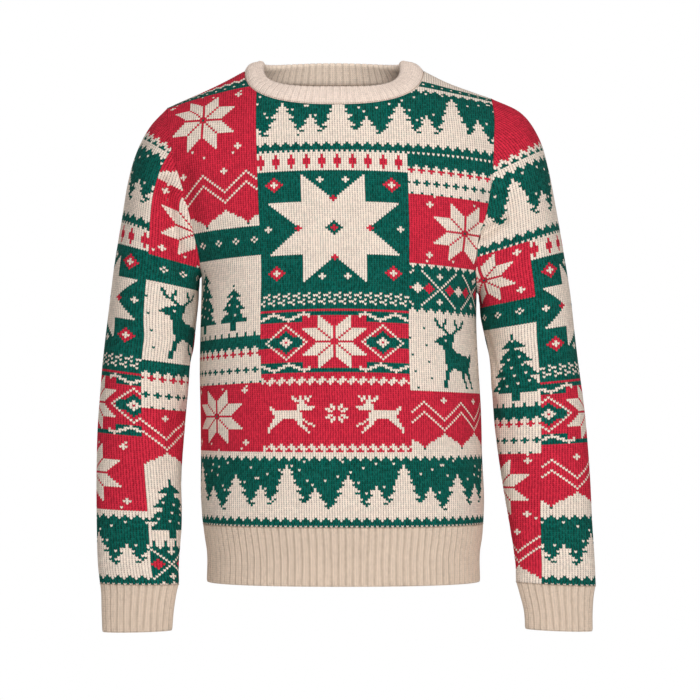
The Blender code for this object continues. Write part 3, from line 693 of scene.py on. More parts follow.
    def armhole_line(self, side: Side, count: int = 400) -> Array:
        """Gives an armhole's seam from the armpit to the shoulder, in the front view."""
        source = ARMHOLES[side]
        height = np.linspace(source["height"][0], source["height"][-1], count)
        return np.stack([side * self.armhole_out(side, height), height], axis=1)


@dataclass
class Sleeve:
    """One sleeve, from the armhole to the cuff seam.

    The armhole's shape fades out over fade_rings of its rings. Its folds lie between two
    shares of its length. Its creases start at crease_start, and reach their depth where the
    sine of the turn is crease_turn.
    """

    side: Side
    fade_rings: float = 5
    fold_starts: tuple[float, float] = (0.0, 0.06)
    fold_ends: tuple[float, float] = (1.0, 0.96)
    crease_start: float = 0.015
    crease_turn: float = 0.5
    turn_count: int = 360
    along_count: int = 280
    plane_count: int = 500
    plane_tries: int = 25

    def __post_init__(self) -> None:
        self.stations = dict(SLEEVES[self.side])
        self.last = len(self.stations["outer_x"]) - 1
        self.stations["index"] = np.arange(self.last + 1, dtype=float)
        self.turns = np.linspace(-math.pi, math.pi, self.turn_count + 1)
        self.armhole = self.armhole_loop(self.turns)
        self.excess = self.armhole - self.ellipse(self.turns, np.zeros_like(self.turns))
        self.row_heights, self.row_tilts, self.row_outs, self.row_runs = self.row_planes()

    def build(self, name: str, blocks: Sequence["Block"], yarn: bpy.types.Material) -> bpy.types.Object:
        """Knits the sleeve.

        Args:
            name: The object's name.
            blocks: Its patchwork.
            yarn: Its material.

        Returns:
            The object.
        """
        grid = self.stitches(2 * SLEEVE_HALF)
        cells = chart_of(SLEEVE_HALF, len(grid), blocks)
        return knit_wall(name, grid, cells, tube=True, flip=self.side == Side.LEFT).build(yarn)

    def armhole_loop(self, turns: Array) -> Array:
        """Places the armhole seam by the turn from the shoulder, positive over the front."""
        loop = np.empty((len(turns), 3))
        for face in Face:
            body = Body(face)
            line = body.armhole_line(self.side)
            share = (line - line[0]) @ unit(line[-1] - line[0])
            mine = turns * face <= 0
            at = share[-1] * (1 + np.cos(turns[mine])) / 2
            loop[mine] = body.place(*(np.interp(at, share, line[:, k]) for k in range(2)))
        loop[[0, -1], 1] = 0.0
        return loop

    def ellipse(self, turn: Array, along: Array) -> Array:
        """Gives points of the sleeve's plain rings."""
        here = {name: read(self.stations, name, along, "index") for name in SLEEVES[self.side]}
        outer = np.stack([self.side * here["outer_x"], 0 * along, here["outer_z"]], axis=-1)
        inner = np.stack([self.side * here["inner_x"], 0 * along, here["inner_z"]], axis=-1)
        down = np.array([0.0, -1.0, 0.0])
        middle = (outer + inner) / 2 + here["forward"][..., None] * down
        across = np.cos(turn)[..., None] * (outer - inner) / 2
        return middle + across + (np.sin(turn) * here["half_depth"])[..., None] * down

    def surface(self, turn: Array, along: Array) -> Array:
        """Gives points of the sleeve with its armhole's shape and its folds."""
        points = self.ellipse(turn, along)
        fade = smooth_step(0.0, 1.0, 1 - along / self.fade_rings)
        for k in range(3):
            points[..., k] += fade * np.interp(turn, self.turns, self.excess[:, k])
        share = along / self.last
        places = np.stack([share, (turn / (2 * math.pi)) % 1.0], axis=-1)
        pressed = fold_depth(SLEEVE_FOLDS, places, 0.01, turns=True)
        pressed *= np.sqrt(np.clip(np.sin(math.pi * share), 0.0, 1.0))
        pressed *= smooth_step(*self.fold_starts, share) * smooth_step(*self.fold_ends, share)
        middle = (self.ellipse(0 * turn, along) + self.ellipse(0 * turn + math.pi, along)) / 2
        points = points - pressed[..., None] * unit(points - middle)
        crease = fold_depth(SLEEVE_CREASES[self.side], points[..., [0, 2]], MM, turns=False)
        crease *= smooth_step(0.0, self.crease_turn, np.sin(turn))
        points[..., 1] += crease * smooth_step(0.0, self.crease_start, share)
        return points

    def row_planes(self) -> tuple[Array, ...]:
        """Works out the planes in which the rows of stitches lie.

        Returns:
            Each plane's height at the sleeve's middle, its tilt, how far out that middle lies,
            and the knitting below it.
        """
        source = ROW_TILT[self.side]
        heights = np.linspace(source["height"][0], source["height"][-1], self.plane_count)
        tilts = read(source, "tilt", heights)
        along = np.linspace(self.last, 0.0, 300)
        ends = [self.ellipse(np.full_like(along, turn), along) for turn in (0.0, math.pi)]
        middle = (ends[0] + ends[1]) / 2
        outs = np.interp(heights, middle[:, 2], np.abs(middle[:, 0]))
        steps = np.diff(heights) * np.cos(tilts[1:]) - np.diff(outs) * np.sin(tilts[1:])
        return heights, tilts, outs, np.concatenate([[0.0], np.cumsum(steps)])

    def rows_at(self, points: Array) -> Array:
        """Gives how much knitting lies between the cuff seam and each point."""
        out, z = self.side * points[..., 0], points[..., 2]
        height = z.copy()
        for _ in range(self.plane_tries):
            tilt = np.interp(height, self.row_heights, self.row_tilts)
            middle = np.interp(height, self.row_heights, self.row_outs)
            height = 0.5 * height + 0.5 * (z - np.tan(tilt) * (out - middle))
        return np.interp(height, self.row_heights, self.row_runs)

    def stitches(self, half: int) -> Array:
        """Lays out the sleeve's grid of stitch corners.

        Args:
            half: The number of half stitches to either side of the outer line.

        Returns:
            Points by row and half stitch. Those past a seam lie on it.
        """
        along = np.linspace(0.0, self.last, self.along_count)
        turn_grid, along_grid = np.meshgrid(self.turns, along, indexing="ij")
        knitted = self.rows_at(self.surface(turn_grid, along_grid))
        knitted[:, -1] = 0.0
        knitted = np.minimum.accumulate(knitted, axis=1)
        rows = math.ceil(knitted.max() / COURSE) + 1
        rows += -rows % INNER_STEP
        heights = np.arange(-1, 2 * rows + 1) * COURSE / 2
        offsets = np.arange(half + 1) * SLEEVE_WALE / 2
        turn_out = np.empty((len(heights), 2 * half + 1))
        along_out, past = np.empty_like(turn_out), np.empty_like(turn_out)
        for way in (1, -1):
            order, columns = slice(self.turn_count // 2, None, way), slice(half, None, way)
            turns, levels = self.turns[order], knitted[order]
            found = self.side_rows(turns, levels, along, np.maximum(heights, 0.0), offsets)
            for whole, part in zip((turn_out, along_out, past), found):
                whole[:, columns] = part
        odd = (np.arange(2 * half + 1) - half) % 2 == 1
        grids = []
        for whole in (turn_out, along_out, past):
            grid = whole[1::2][: rows + 1].copy()
            grid[:, odd] = whole[0::2][: rows + 1][:, odd]
            grids.append(grid)
        for grid in grids[:2]:
            close_seams(grid, grids[2] > 0.5, half)
        return self.surface(grids[0], grids[1])

    def side_rows(
        self,
        turns: Array,
        knitted: Array,
        along: Array,
        heights: Array,
        offsets: Array,
    ) -> tuple[Array, Array, Array]:
        """Follows the rows round one side, from the outer line to the underarm or armhole.

        Args:
            turns: Turns from the outer line to the underarm.
            knitted: The knitting below each place, by turn and along.
            along: The places along the sleeve.
            heights: The knitting below each wanted row.
            offsets: Each column's way round from the outer line.

        Returns:
            The turn, the place along the sleeve and whether it lies past the edge, by row and
            column.
        """
        level = np.stack([np.interp(heights, line[::-1], along[::-1]) for line in knitted])
        edge = np.minimum.accumulate(knitted[:, 0])
        turn_found = np.zeros((len(heights), len(offsets)))
        along_found, past_edge = np.zeros_like(turn_found), np.zeros_like(turn_found)
        ends = np.zeros(len(heights))
        armpit = np.argmax(heights >= edge[-1])
        for k, height in enumerate(heights):
            if height >= edge[0]:
                continue
            inside = int(np.sum(edge > height))
            line_turns, line_along = turns[:inside], level[:inside, k]
            if inside < len(turns):
                end_turn = np.interp(height, edge[::-1], turns[::-1])
                line_turns, line_along = np.append(line_turns, end_turn), np.append(line_along, 0.0)
            way = run_along(self.surface(line_turns, line_along))
            ends[k] = way[-1]
            past_edge[k] = way[-1] - offsets < (SLIVER * offsets[1] if k <= armpit else 0.0)
            wanted = np.where(past_edge[k] > 0.5, way[-1], offsets)
            turn_found[k] = np.interp(wanted, way, line_turns)
            along_found[k] = np.interp(wanted, way, line_along)
        cap = heights >= edge[-1]
        narrowing = np.minimum.accumulate(ends[cap])
        top = np.interp(offsets, narrowing[::-1], heights[cap][::-1])
        past = heights[:, None] > top[None, :]
        cut = np.broadcast_to(np.interp(top, edge[::-1], turns[::-1]), past.shape)
        past_edge[armpit + 1 :] = 0.0
        found = (turn_found, along_found, past_edge)
        return tuple(np.where(past, beyond, here) for beyond, here in zip((cut, 0.0, 0.0), found))


class Chart:
    """A colour chart with one yarn a stitch, counted from its middle column and lowest row."""

    def __init__(self, half: int, rows: int, ground: Yarn = Yarn.CREAM) -> None:
        self.half = half
        self.cells = np.full((rows, 2 * half), int(ground))
        self.rows, self.columns = np.mgrid[0:rows, -half:half]

    def fill(self, block: "Block") -> None:
        """Knits a block's design into its place."""
        inside = (self.columns >= block.left) & (self.columns < block.right)
        inside &= (self.rows >= block.low) & (self.rows < block.high)
        across = self.columns[inside] - (block.left + block.right - 1) // 2
        up = self.rows[inside] - block.low
        wide, high = block.right - block.left, block.high - block.low
        self.cells[inside] = DESIGNS[block.design](across, up, wide, high)


class Design(Enum):
    """The generic traditional designs that the blocks are made of."""

    FOREST = "snowy spruces on green"
    STAR = "an eight-pointed star on green"
    ROSE = "an eight-petalled rose on red"
    ROSE_BAND = "a rose between diamonds on red and green stripes"
    DEER = "a standing deer on cream"
    LEAPING = "two leaping deer on red"
    ZIGZAG = "zigzag lines on red"
    SPRUCES = "green spruces on cream"
    SQUARES = "a band of small squares"
    DIAMONDS = "bands of diamonds and squares"
    LATTICE = "crossing lines with diamonds on green"
    CROSSES = "small crosses on green"
    CHECKS = "rows of single stitches on green"
    PLAIN_RED = "plain red with a toothed edge"


@dataclass(frozen=True)
class Block:
    """A rectangle of a chart, in stitches from the middle and rows from the lowest."""

    left: int
    right: int
    low: int
    high: int
    design: Design


STANDING_DEER = (
    "#....#....#....#........",
    "##...#....#...##........",
    ".#..##....##..#.........",
    ".##.#......#.##.........",
    "..###......###..........",
    "....##....##............",
    ".....##..##.............",
    "......####..............",
    "....######..............",
    "..########..............",
    ".####.####..............",
    "#########...............",
    "..#######...............",
    "....#####...............",
    "....######..............",
    ".....######.............",
    ".....#########......#...",
    ".....#############.##...",
    ".....################...",
    ".....################...",
    ".....###############....",
    ".....###############....",
    "......##############....",
    "......#############.....",
    "......###..########.....",
    ".....###......#####.....",
    ".....##.......##.###....",
    ".....##.......##..##....",
    ".....##.......##..##....",
    ".....##........#...#....",
    "....##.........##..##...",
    "....##..........#...#...",
    "....##..........#...#...",
    "....##..........##..##..",
)
LEAPING_DEER = (
    "..........#..#.#.#..",
    "..........##.#.##...",
    "...........####.#...",
    ".............##.....",
    "............####....",
    ".#..........#######.",
    ".##.........######..",
    "..###########.......",
    "..############......",
    "...###########......",
    "...###########......",
    "..####.....####.....",
    "..###.......##.#....",
    ".###........##..##..",
    ".##..........##...#.",
    "##............##....",
    "#..............#....",
    "#...............#...",
)


def picture(drawing: Sequence[str], x: Array, y: Array, flip: bool = False) -> Array:
    """Looks up a drawn motif.

    Args:
        drawing: Its rows from the top, with # for a stitch of the motif.
        x: Columns from the motif's middle.
        y: Rows from its lowest.
        flip: Whether it faces the other way.

    Returns:
        Whether each stitch is in the motif.
    """
    cells = np.array([[mark == "#" for mark in line] for line in reversed(drawing)])
    if flip:
        cells = cells[:, ::-1]
    column = x + cells.shape[1] // 2
    inside = (column >= 0) & (column < cells.shape[1]) & (y >= 0) & (y < cells.shape[0])
    return inside & cells[np.clip(y, 0, len(cells) - 1), np.clip(column, 0, cells.shape[1] - 1)]


def teeth(x: Array) -> Array:
    """Gives a toothed edge's height, 0 to 2, with a tooth every four stitches."""
    return 2 - np.abs(x % 4 - 2)


def diamond(x: Array, y: Array, size: float) -> Array:
    """Tells which stitches are in a diamond round the middle."""
    return np.abs(x) + np.abs(y) <= size


def rose(x: Array, y: Array, size: int) -> Array:
    """Tells which stitches are in the petals of an eight-petalled rose."""
    low = np.minimum(np.abs(x), np.abs(y))
    high = np.maximum(np.abs(x), np.abs(y))
    half = size // 2
    return (low >= 1) & (low <= half) & (high > low) & (high <= low + size - half)


def solid_star(x: Array, y: Array, reach: int) -> Array:
    """Tells which stitches are in a solid star of eight points, with tips at a reach."""
    low = np.minimum(np.abs(x), np.abs(y))
    high = np.maximum(np.abs(x), np.abs(y))
    half = reach // 2
    return (low <= half) & (high - low <= reach - half)


def spruce(x: Array, down: Array, slope: float, tier: int, reach: float) -> Array:
    """Tells which stitches are in a spruce, by column and rows below its tip."""
    half = slope * down + reach * ((down % tier) / tier) * np.clip(down / tier, 0.0, 1.0)
    return (down >= 0) & (np.abs(x) <= half)


def pick(*layers: tuple[Array, Yarn], ground: Yarn) -> Array:
    """Lays masks of yarn over a ground, the last on top."""
    cells = np.full(layers[0][0].shape, int(ground))
    for mask, yarn in layers:
        cells[mask] = int(yarn)
    return cells


# Each design takes the columns from its block's middle, the rows from its lowest, and the
# block's width and height in stitches. It gives the yarn of each stitch.
DesignRule = Callable[[Array, Array, int, int], Array]


def forest(x: Array, y: Array, wide: int, high: int) -> Array:
    """Cream spruces of several heights on green, between toothed edges."""
    place = (x + 6) % 46 - 23
    cream = (y < 8 + (np.abs(x % 7 - 3) < 2)) & (y > 0)
    for middle, height, slope in ((-14, 0.62, 0.36), (-3, 0.42, 0.34), (8, 0.78, 0.30), (19, 0.38, 0.42)):
        tip = 7 + round(height * (high - 8))
        for turn in (-46, 0, 46):
            cream |= spruce(place - middle - turn, tip - y, slope, 4, 2.2) & (y > 5)
    snow = ((x * 7 + y * 13) % 61 == 0) | ((x * 5 + y * 3) % 97 == 1)
    flakes = snow & (y > high // 3) & (y < high - 4)
    low_edge = y < 3 + teeth(x)
    top_edge = y >= high - 2 - teeth(x + 2)
    foot = (y == 0) & (x % 2 == 0)
    layers = ((cream | flakes, Yarn.CREAM), (low_edge, Yarn.GREEN), (top_edge | foot, Yarn.CREAM))
    return pick(*layers, ground=Yarn.GREEN)


def star(x: Array, y: Array, wide: int, high: int) -> Array:
    """A large cream star on green, with small diamonds and flowers round it."""
    v = y - high // 2
    reach = min(wide, high) // 2 - 3
    body = solid_star(x, v, reach)
    corner_x, corner_v = np.abs(x) - (wide // 2 - 6), np.abs(v) - (high // 2 - 7)
    beside = np.abs(x) - (wide // 2 - 3)
    over = np.abs(v) - (high // 2 - 5)
    red = diamond(corner_x, corner_v, 3.2)
    flowers = diamond(corner_x, corner_v, 1.2) | diamond(np.abs(x) - 5, over, 1.6) | diamond(beside, v, 1.6)
    middle = diamond(x, v, 3.4)
    ray = diamond(x, np.abs(v) - reach // 2 - 2, 1.4) | diamond(np.abs(x) - reach // 2 - 2, v, 1.4)
    return pick(
        (body, Yarn.CREAM),
        (red | ray, Yarn.RED),
        (flowers, Yarn.CREAM),
        (middle, Yarn.GREEN),
        (diamond(x, v, 1.4), Yarn.RED),
        ground=Yarn.GREEN,
    )


def rose_block(x: Array, y: Array, wide: int, high: int) -> Array:
    """A cream rose on red, with small crosses in the corners."""
    v = y - high // 2
    size = min(13, wide // 2 - 2, high // 2 - 2)
    corner_x, corner_v = np.abs(x) - min(wide // 2 - 4, 15), np.abs(v) - (high // 2 - 4)
    cross = diamond(corner_x, corner_v, 1.0)
    cream = rose(x, v, size) | cross | (((x * 3 + v * 5) % 41 == 0) & (np.abs(v) > size))
    return pick((cream, Yarn.CREAM), (diamond(x, v, 0.5), Yarn.GREEN), ground=Yarn.RED)


def rose_band(x: Array, y: Array, wide: int, high: int) -> Array:
    """A cream rose between two diamonds, on red with green stripes."""
    v = y - high // 2
    green = (np.abs(v) <= 2) | ((np.abs(v) >= high // 2 - 6) & (np.abs(v) < high // 2 - 1))
    side = np.abs(x) - 19
    thin = np.abs(np.abs(side) + np.abs(v) - 8) < 0.6
    wave = np.abs(np.abs(v) - (high // 2 - 4) - (np.abs(x % 12 - 6) / 2 - 1.5)) < 0.6
    cream = (wave & (np.abs(x) > 9)) | thin | rose(x, v, 12) | diamond(side, v, 2.2)
    petals_ground = (np.abs(x) <= 12) & (np.abs(v) <= 12)
    return pick(
        (green, Yarn.GREEN),
        (petals_ground, Yarn.RED),
        (diamond(side, v, 5.0), Yarn.GREEN),
        (cream, Yarn.CREAM),
        (diamond(side, v, 0.5), Yarn.RED),
        ground=Yarn.RED,
    )


def deer_block(x: Array, y: Array, wide: int, high: int) -> Array:
    """A green standing deer on cream."""
    low = (high - len(STANDING_DEER)) // 2
    deer = picture(STANDING_DEER, x, y - low)
    dots = (np.abs(x) > 13) & ((x * 3 + y * 7) % 53 == 0)
    return pick((deer | dots, Yarn.GREEN), ground=Yarn.CREAM)


def leaping_block(x: Array, y: Array, wide: int, high: int) -> Array:
    """Two cream leaping deer face each other across a small rose, on red."""
    low = (high - len(LEAPING_DEER)) // 2
    spread = min(17, wide // 3)
    deer = picture(LEAPING_DEER, x - spread, y - low, flip=True)
    deer |= picture(LEAPING_DEER, x + spread, y - low)
    middle = rose(x, y - high // 2, 4) if wide > 40 else np.zeros(x.shape, bool)
    edge = (y < 2 + teeth(x)) | (y >= high - 2 - teeth(x))
    rim = (y < teeth(x + 1)) | (y >= high - teeth(x + 1))
    return pick((deer | middle | edge, Yarn.CREAM), (rim, Yarn.RED), ground=Yarn.RED)


def zigzag_block(x: Array, y: Array, wide: int, high: int) -> Array:
    """Two cream zigzag lines on red over a toothed cream edge."""
    wave = np.abs(x % 18 - 9)
    line = np.abs(y - high // 2 - wave) < 0.8
    line |= np.abs(y - high // 2 + 5 - wave) < 0.8
    crosses = diamond(x % 18 - 9, y - (high // 2 + 10), 1.0) & (y < high - 3)
    low = y < np.abs((x + 9) % 18 - 9) * 0.7 + 2
    eyes = diamond((x + 9) % 18 - 9, y - 1, 0.5)
    return pick((line | crosses | low, Yarn.CREAM), (eyes, Yarn.GREEN), ground=Yarn.RED)


def spruce_block(x: Array, y: Array, wide: int, high: int) -> Array:
    """Green spruces on cream."""
    down = high - 5 - y
    trunk = (y > 2) & (y < 8)
    green = spruce(x + 9, down, 0.27, 7, 3.4) & (y >= 7)
    green |= spruce(x - 10, down - 9, 0.26, 6, 2.8) & (y >= 7)
    green |= ((np.abs(x + 9) <= 1) | (np.abs(x - 10) <= 1)) & trunk
    lights = ((x * 5 + y * 3) % 17 == 0) & (y > 8)
    dots = (y < 2) & (x % 4 == 0)
    return pick((green | dots, Yarn.GREEN), (green & lights, Yarn.CREAM), ground=Yarn.CREAM)


def squares_band(x: Array, y: Array, wide: int, high: int) -> Array:
    """A row of red squares with short arms, on cream."""
    column, v = x % 6 - 2, y - high // 2
    block = (np.abs(column) <= 1) & (np.abs(v) <= 1)
    arms = (column == 0) & (np.abs(v) <= high // 2 - 1)
    return pick((block | arms, Yarn.RED), ground=Yarn.CREAM)


def diamonds_band(x: Array, y: Array, wide: int, high: int) -> Array:
    """A row of red diamonds and a row of green ones on cream, under a green toothed edge."""
    column = x % 4 - 2
    red = diamond(column, (y - 0.60 * high).round(), 1.4)
    green = diamond((x + 2) % 4 - 2, (y - 0.26 * high).round(), 1.9) | ((column == 0) & (y == 0))
    top = y >= high - 5 - teeth(x)
    return pick((red, Yarn.RED), (green | top, Yarn.GREEN), ground=Yarn.CREAM)


def lattice_band(x: Array, y: Array, wide: int, high: int) -> Array:
    """Crossing cream lines on green, with red diamonds between them."""
    column, v = x % 20 - 10, y - high // 2
    reach = high // 2 - 3
    lines = (np.abs(np.abs(column) - np.abs(v)) < 0.8) & (np.abs(v) <= reach)
    frames = diamond(np.abs(column) - 10, v, 2.4) | diamond(column, np.abs(v) - 6, 1.4)
    reds = diamond(np.abs(column) - 5, v, 2.2)
    edge = (y < teeth(x)) | (y >= high - teeth(x))
    return pick((lines | frames | edge, Yarn.CREAM), (reds, Yarn.RED), ground=Yarn.GREEN)


def crosses_band(x: Array, y: Array, wide: int, high: int) -> Array:
    """A row of small cream crosses on green."""
    cross = diamond(x % 8 - 4, y - high // 2, 1.4) & ~diamond(x % 8 - 4, y - high // 2, 0.4)
    return pick((cross, Yarn.CREAM), ground=Yarn.GREEN)


def checks_band(x: Array, y: Array, wide: int, high: int) -> Array:
    """Alternating single cream stitches on green."""
    rows = (y > 1) & (y < high - 2)
    return pick((rows & ((x + 2 * (y % 2)) % 4 < 1 + (y % 3 == 0)), Yarn.CREAM), ground=Yarn.GREEN)


def plain_red(x: Array, y: Array, wide: int, high: int) -> Array:
    """Red over a cream toothed edge."""
    return pick((y < 2 + teeth(x), Yarn.CREAM), (y < teeth(x), Yarn.GREEN), ground=Yarn.RED)


DESIGNS: dict[Design, DesignRule] = {
    Design.FOREST: forest,
    Design.STAR: star,
    Design.ROSE: rose_block,
    Design.ROSE_BAND: rose_band,
    Design.DEER: deer_block,
    Design.LEAPING: leaping_block,
    Design.ZIGZAG: zigzag_block,
    Design.SPRUCES: spruce_block,
    Design.SQUARES: squares_band,
    Design.DIAMONDS: diamonds_band,
    Design.LATTICE: lattice_band,
    Design.CROSSES: crosses_band,
    Design.CHECKS: checks_band,
    Design.PLAIN_RED: plain_red,
}


def stack(left: int, right: int, order: str) -> tuple[Block, ...]:
    """Stacks blocks of one width.

    Args:
        left: Their left edge.
        right: Their right edge.
        order: Rows with a design's name between each two, from the lowest row up.

    Returns:
        The blocks.
    """
    words = order.split()
    rows, designs = [int(word) for word in words[::2]], [Design[word] for word in words[1::2]]
    return tuple(Block(left, right, *span, design) for *span, design in zip(rows, rows[1:], designs))


# Half the stitches across a panel and a sleeve, and the edges of the patchwork's middle strips.
BODY_HALF = 76
SLEEVE_HALF = 56
FRONT_LEFT, FRONT_RIGHT = -31, 28
BACK_LEFT, BACK_RIGHT = -26, 33
STRIP = 21
FRONT_BLOCKS = (
    *stack(-BODY_HALF, BODY_HALF, "0 FOREST 36"),
    *stack(FRONT_LEFT, FRONT_RIGHT, "36 LEAPING 72 ROSE_BAND 104 CHECKS 114 STAR 170 SQUARES 179"),
    *stack(FRONT_LEFT, BODY_HALF, "179 FOREST 214"),
    *stack(-BODY_HALF, FRONT_LEFT, "36 ROSE 70 DIAMONDS 93 SPRUCES 131 CROSSES 145 ZIGZAG 179 ROSE 214"),
    *stack(FRONT_RIGHT, BODY_HALF, "36 ZIGZAG 66 DEER 104 LATTICE 127 ROSE 160 DIAMONDS 179"),
    *stack(-BODY_HALF, BODY_HALF, "214 CHECKS 219"),
    *stack(-BODY_HALF, -8, "219 PLAIN_RED 260"),
)
BACK_BLOCKS = (
    *stack(-BODY_HALF, BODY_HALF, "0 FOREST 36"),
    *stack(-BODY_HALF, BACK_LEFT, "36 LEAPING 70 ROSE 104 LATTICE 127 DEER 170 CHECKS 175"),
    *stack(BACK_LEFT, BACK_RIGHT, "36 ZIGZAG 66 ROSE_BAND 98 CHECKS 108 STAR 166 SQUARES 175"),
    *stack(BACK_RIGHT, BODY_HALF, "36 SPRUCES 74 DIAMONDS 97 ROSE 131 CROSSES 145 ZIGZAG 175"),
    *stack(-BODY_HALF, BODY_HALF, "175 FOREST 211 CHECKS 216"),
)
SLEEVE_BLOCKS = {
    Side.RIGHT: (
        *stack(-STRIP, STRIP, "0 FOREST 36 ROSE 70 ROSE_BAND 102 CHECKS 112 STAR 160 SQUARES 169"),
        *stack(-STRIP, STRIP, "169 FOREST 205 PLAIN_RED 260"),
        *stack(STRIP, SLEEVE_HALF, "0 LATTICE 20 SPRUCES 56 ZIGZAG 86 DIAMONDS 109 DEER 147"),
        *stack(STRIP, SLEEVE_HALF, "147 CROSSES 159 ROSE 193 ZIGZAG 260"),
        *stack(-SLEEVE_HALF, -STRIP, "0 ROSE 34 DEER 72 DIAMONDS 95 ZIGZAG 125 LATTICE 148"),
        *stack(-SLEEVE_HALF, -STRIP, "148 ROSE 182 SPRUCES 260"),
    ),
    Side.LEFT: (
        *stack(-STRIP, STRIP, "0 FOREST 36 ZIGZAG 66 ROSE_BAND 98 CHECKS 108 STAR 156 SQUARES 165"),
        *stack(-SLEEVE_HALF, SLEEVE_HALF, "165 FOREST 201 PLAIN_RED 260"),
        *stack(STRIP, SLEEVE_HALF, "0 ZIGZAG 30 ROSE 64 DIAMONDS 87 SPRUCES 127 CROSSES 139 ROSE 165"),
        *stack(-SLEEVE_HALF, -STRIP, "0 SPRUCES 36 LATTICE 59 ROSE 93 DEER 131 ZIGZAG 165"),
    ),
}


def chart_of(half: int, rows: int, blocks: Sequence[Block]) -> Array:
    """Draws a chart from its blocks.

    Args:
        half: The number of stitches to either side of the middle.
        rows: The number of rows.
        blocks: The blocks, later ones over earlier ones.

    Returns:
        The yarn of each stitch by row and column.
    """
    chart = Chart(half, rows)
    for block in blocks:
        chart.fill(block)
    return chart.cells


@dataclass
class Wall:
    """A piece of cloth laid out as a grid of points, with what its stitches are made of.

    relief lifts each point of the outer face along its normal. yarns holds the yarn of each
    cell of the grid. stitch_u and stitch_v count stitches across and rows up at each point.
    inner_steps are the rows and columns of the outer face for each one of the inner face.
    """

    name: str
    grid: Array
    relief: Array
    yarns: Array
    stitch_u: Array
    stitch_v: Array
    thickness: float
    inner_steps: tuple[int, int]
    tube: bool
    flip: bool

    MERGE = 0.02 * MM
    INNER_STRIP = 0.12
    # Where a crease leaves less than LEAST_ROOM between the faces, the inner one sinks by
    # SINK_GAIN times what is lacking.
    LEAST_ROOM = 1.2 * MM
    SINK_GAIN = 1.5
    DEEPEST_SINK = 9.0 * MM

    def build(self, material: bpy.types.Material) -> bpy.types.Object:
        """Makes the outer face, the inner face and the rims between them.

        Args:
            material: The yarn's material.

        Returns:
            The wall's object.
        """
        rows, columns = self.grid.shape[:2]
        row_step, column_step = self.inner_steps
        if self.tube:
            self.grid[:, -1] = self.grid[:, 0]
        ids = np.arange(rows * columns).reshape(rows, columns)
        outer = cells_as_triangles(ids)
        normals = self.normals(outer)
        raised = self.grid + self.relief[..., None] * normals
        inner = self.inner_face(normals)
        inner_ids = rows * columns + np.arange(inner.shape[0] * inner.shape[1]).reshape(inner.shape[:2])
        rims = [zip_rim(ids[0], inner_ids[0], column_step)[:, ::-1]]
        rims.append(zip_rim(ids[-1], inner_ids[-1], column_step))
        if not self.tube:
            rims.append(zip_rim(ids[:, 0], inner_ids[:, 0], row_step))
            rims.append(zip_rim(ids[:, -1], inner_ids[:, -1], row_step)[:, ::-1])
        faces = np.concatenate([outer, cells_as_triangles(inner_ids)[:, ::-1], *rims])
        if self.flip:
            faces = faces[:, ::-1]
        yarn = np.full(len(faces), float(Yarn.BACKING))
        yarn[: len(outer)] = np.repeat(self.yarns.ravel(), 2)
        stitch = np.stack([self.stitch_u, self.stitch_v], axis=-1)
        spots = np.concatenate([stitch.reshape(-1, 2), stitch[::row_step, ::column_step].reshape(-1, 2)])
        strip = 1 - self.INNER_STRIP - 2 * BAKE_MARGIN
        bake = np.concatenate([bake_band(0.0, strip, ids.shape), bake_band(strip, 1.0, inner_ids.shape)])
        points = np.concatenate([raised.reshape(-1, 3), inner.reshape(-1, 3)])
        return mesh_object(self.name, points, faces, spots, bake, yarn, material)

    def normals(self, faces: Array) -> Array:
        """Works out the outward direction at each point of the grid.

        Slivers beside a seam can turn a point's own direction over. The cells around decide there.

        Args:
            faces: The grid's triangles.

        Returns:
            Directions of length one, as the grid's points lie.
        """
        points = self.grid.reshape(-1, 3)
        same = merged(points, self.MERGE)
        a, b, c = (points[faces[:, k]] for k in range(3))
        across = np.cross(b - a, c - a) * (-1 if self.flip else 1)
        corners = same[faces]
        whole = is_whole(corners)
        corners, across = corners[whole], across[whole]
        around = own = summed(corners, across, same.max() + 1)
        for _ in range(3):
            around = summed(corners, around[corners].sum(axis=1), len(own))
        own, around = unit(own), unit(around)
        turned = np.sum(own * around, axis=1) < 0.5
        own[turned] = around[turned]
        return own[same].reshape(self.grid.shape)

    def inner_face(self, normals: Array) -> Array:
        """Places the coarse inner face, and sinks it where a crease of the outer one would meet it.

        Args:
            normals: The outward direction at each point of the grid.

        Returns:
            The inner face's points by row and column.
        """
        down_step, across_step = self.inner_steps
        rows, columns = np.arange(0, len(self.grid), down_step), np.arange(0, self.grid.shape[1], across_step)
        inner = (self.grid - self.thickness * normals)[::down_step, ::across_step]
        flat = finer(finer(inner, down_step).swapaxes(0, 1), across_step).swapaxes(0, 1)
        lack = np.clip(self.LEAST_ROOM - np.sum((self.grid - flat) * normals, axis=-1), 0.0, None)
        places = [
            np.ix_(np.clip(rows + down, 0, rows[-1]), np.clip(columns + across, 0, columns[-1]))
            for down in range(-down_step, down_step + 1)
            for across in range(-across_step, across_step + 1)
        ]
        most = np.max([lack[place] for place in places], axis=0)
        sink = np.minimum(self.SINK_GAIN * most, self.DEEPEST_SINK)
        around = unit(sum(normals[place] for place in places))
        inner = inner - sink[..., None] * around
        if self.tube:
            inner[:, -1] = inner[:, 0]
        return inner


def bake_band(low: float, high: float, shape: tuple[int, int]) -> Array:
    """Spreads a grid's points over the square of a baked picture, between two heights on it."""
    rows = np.linspace(low + BAKE_MARGIN, high - BAKE_MARGIN, shape[0])
    v, u = np.meshgrid(rows, np.linspace(BAKE_MARGIN, 1 - BAKE_MARGIN, shape[1]), indexing="ij")
    return np.stack([u, v], axis=-1).reshape(-1, 2)


def finer(rows: Array, step: int) -> Array:
    """Fills in rows along straight lines between those given, step for each one."""
    at = np.arange(step * (len(rows) - 1) + 1) / step
    first = np.minimum(at.astype(int), len(rows) - 2)
    share = (at - first)[:, None, None]
    return rows[first] * (1 - share) + rows[first + 1] * share


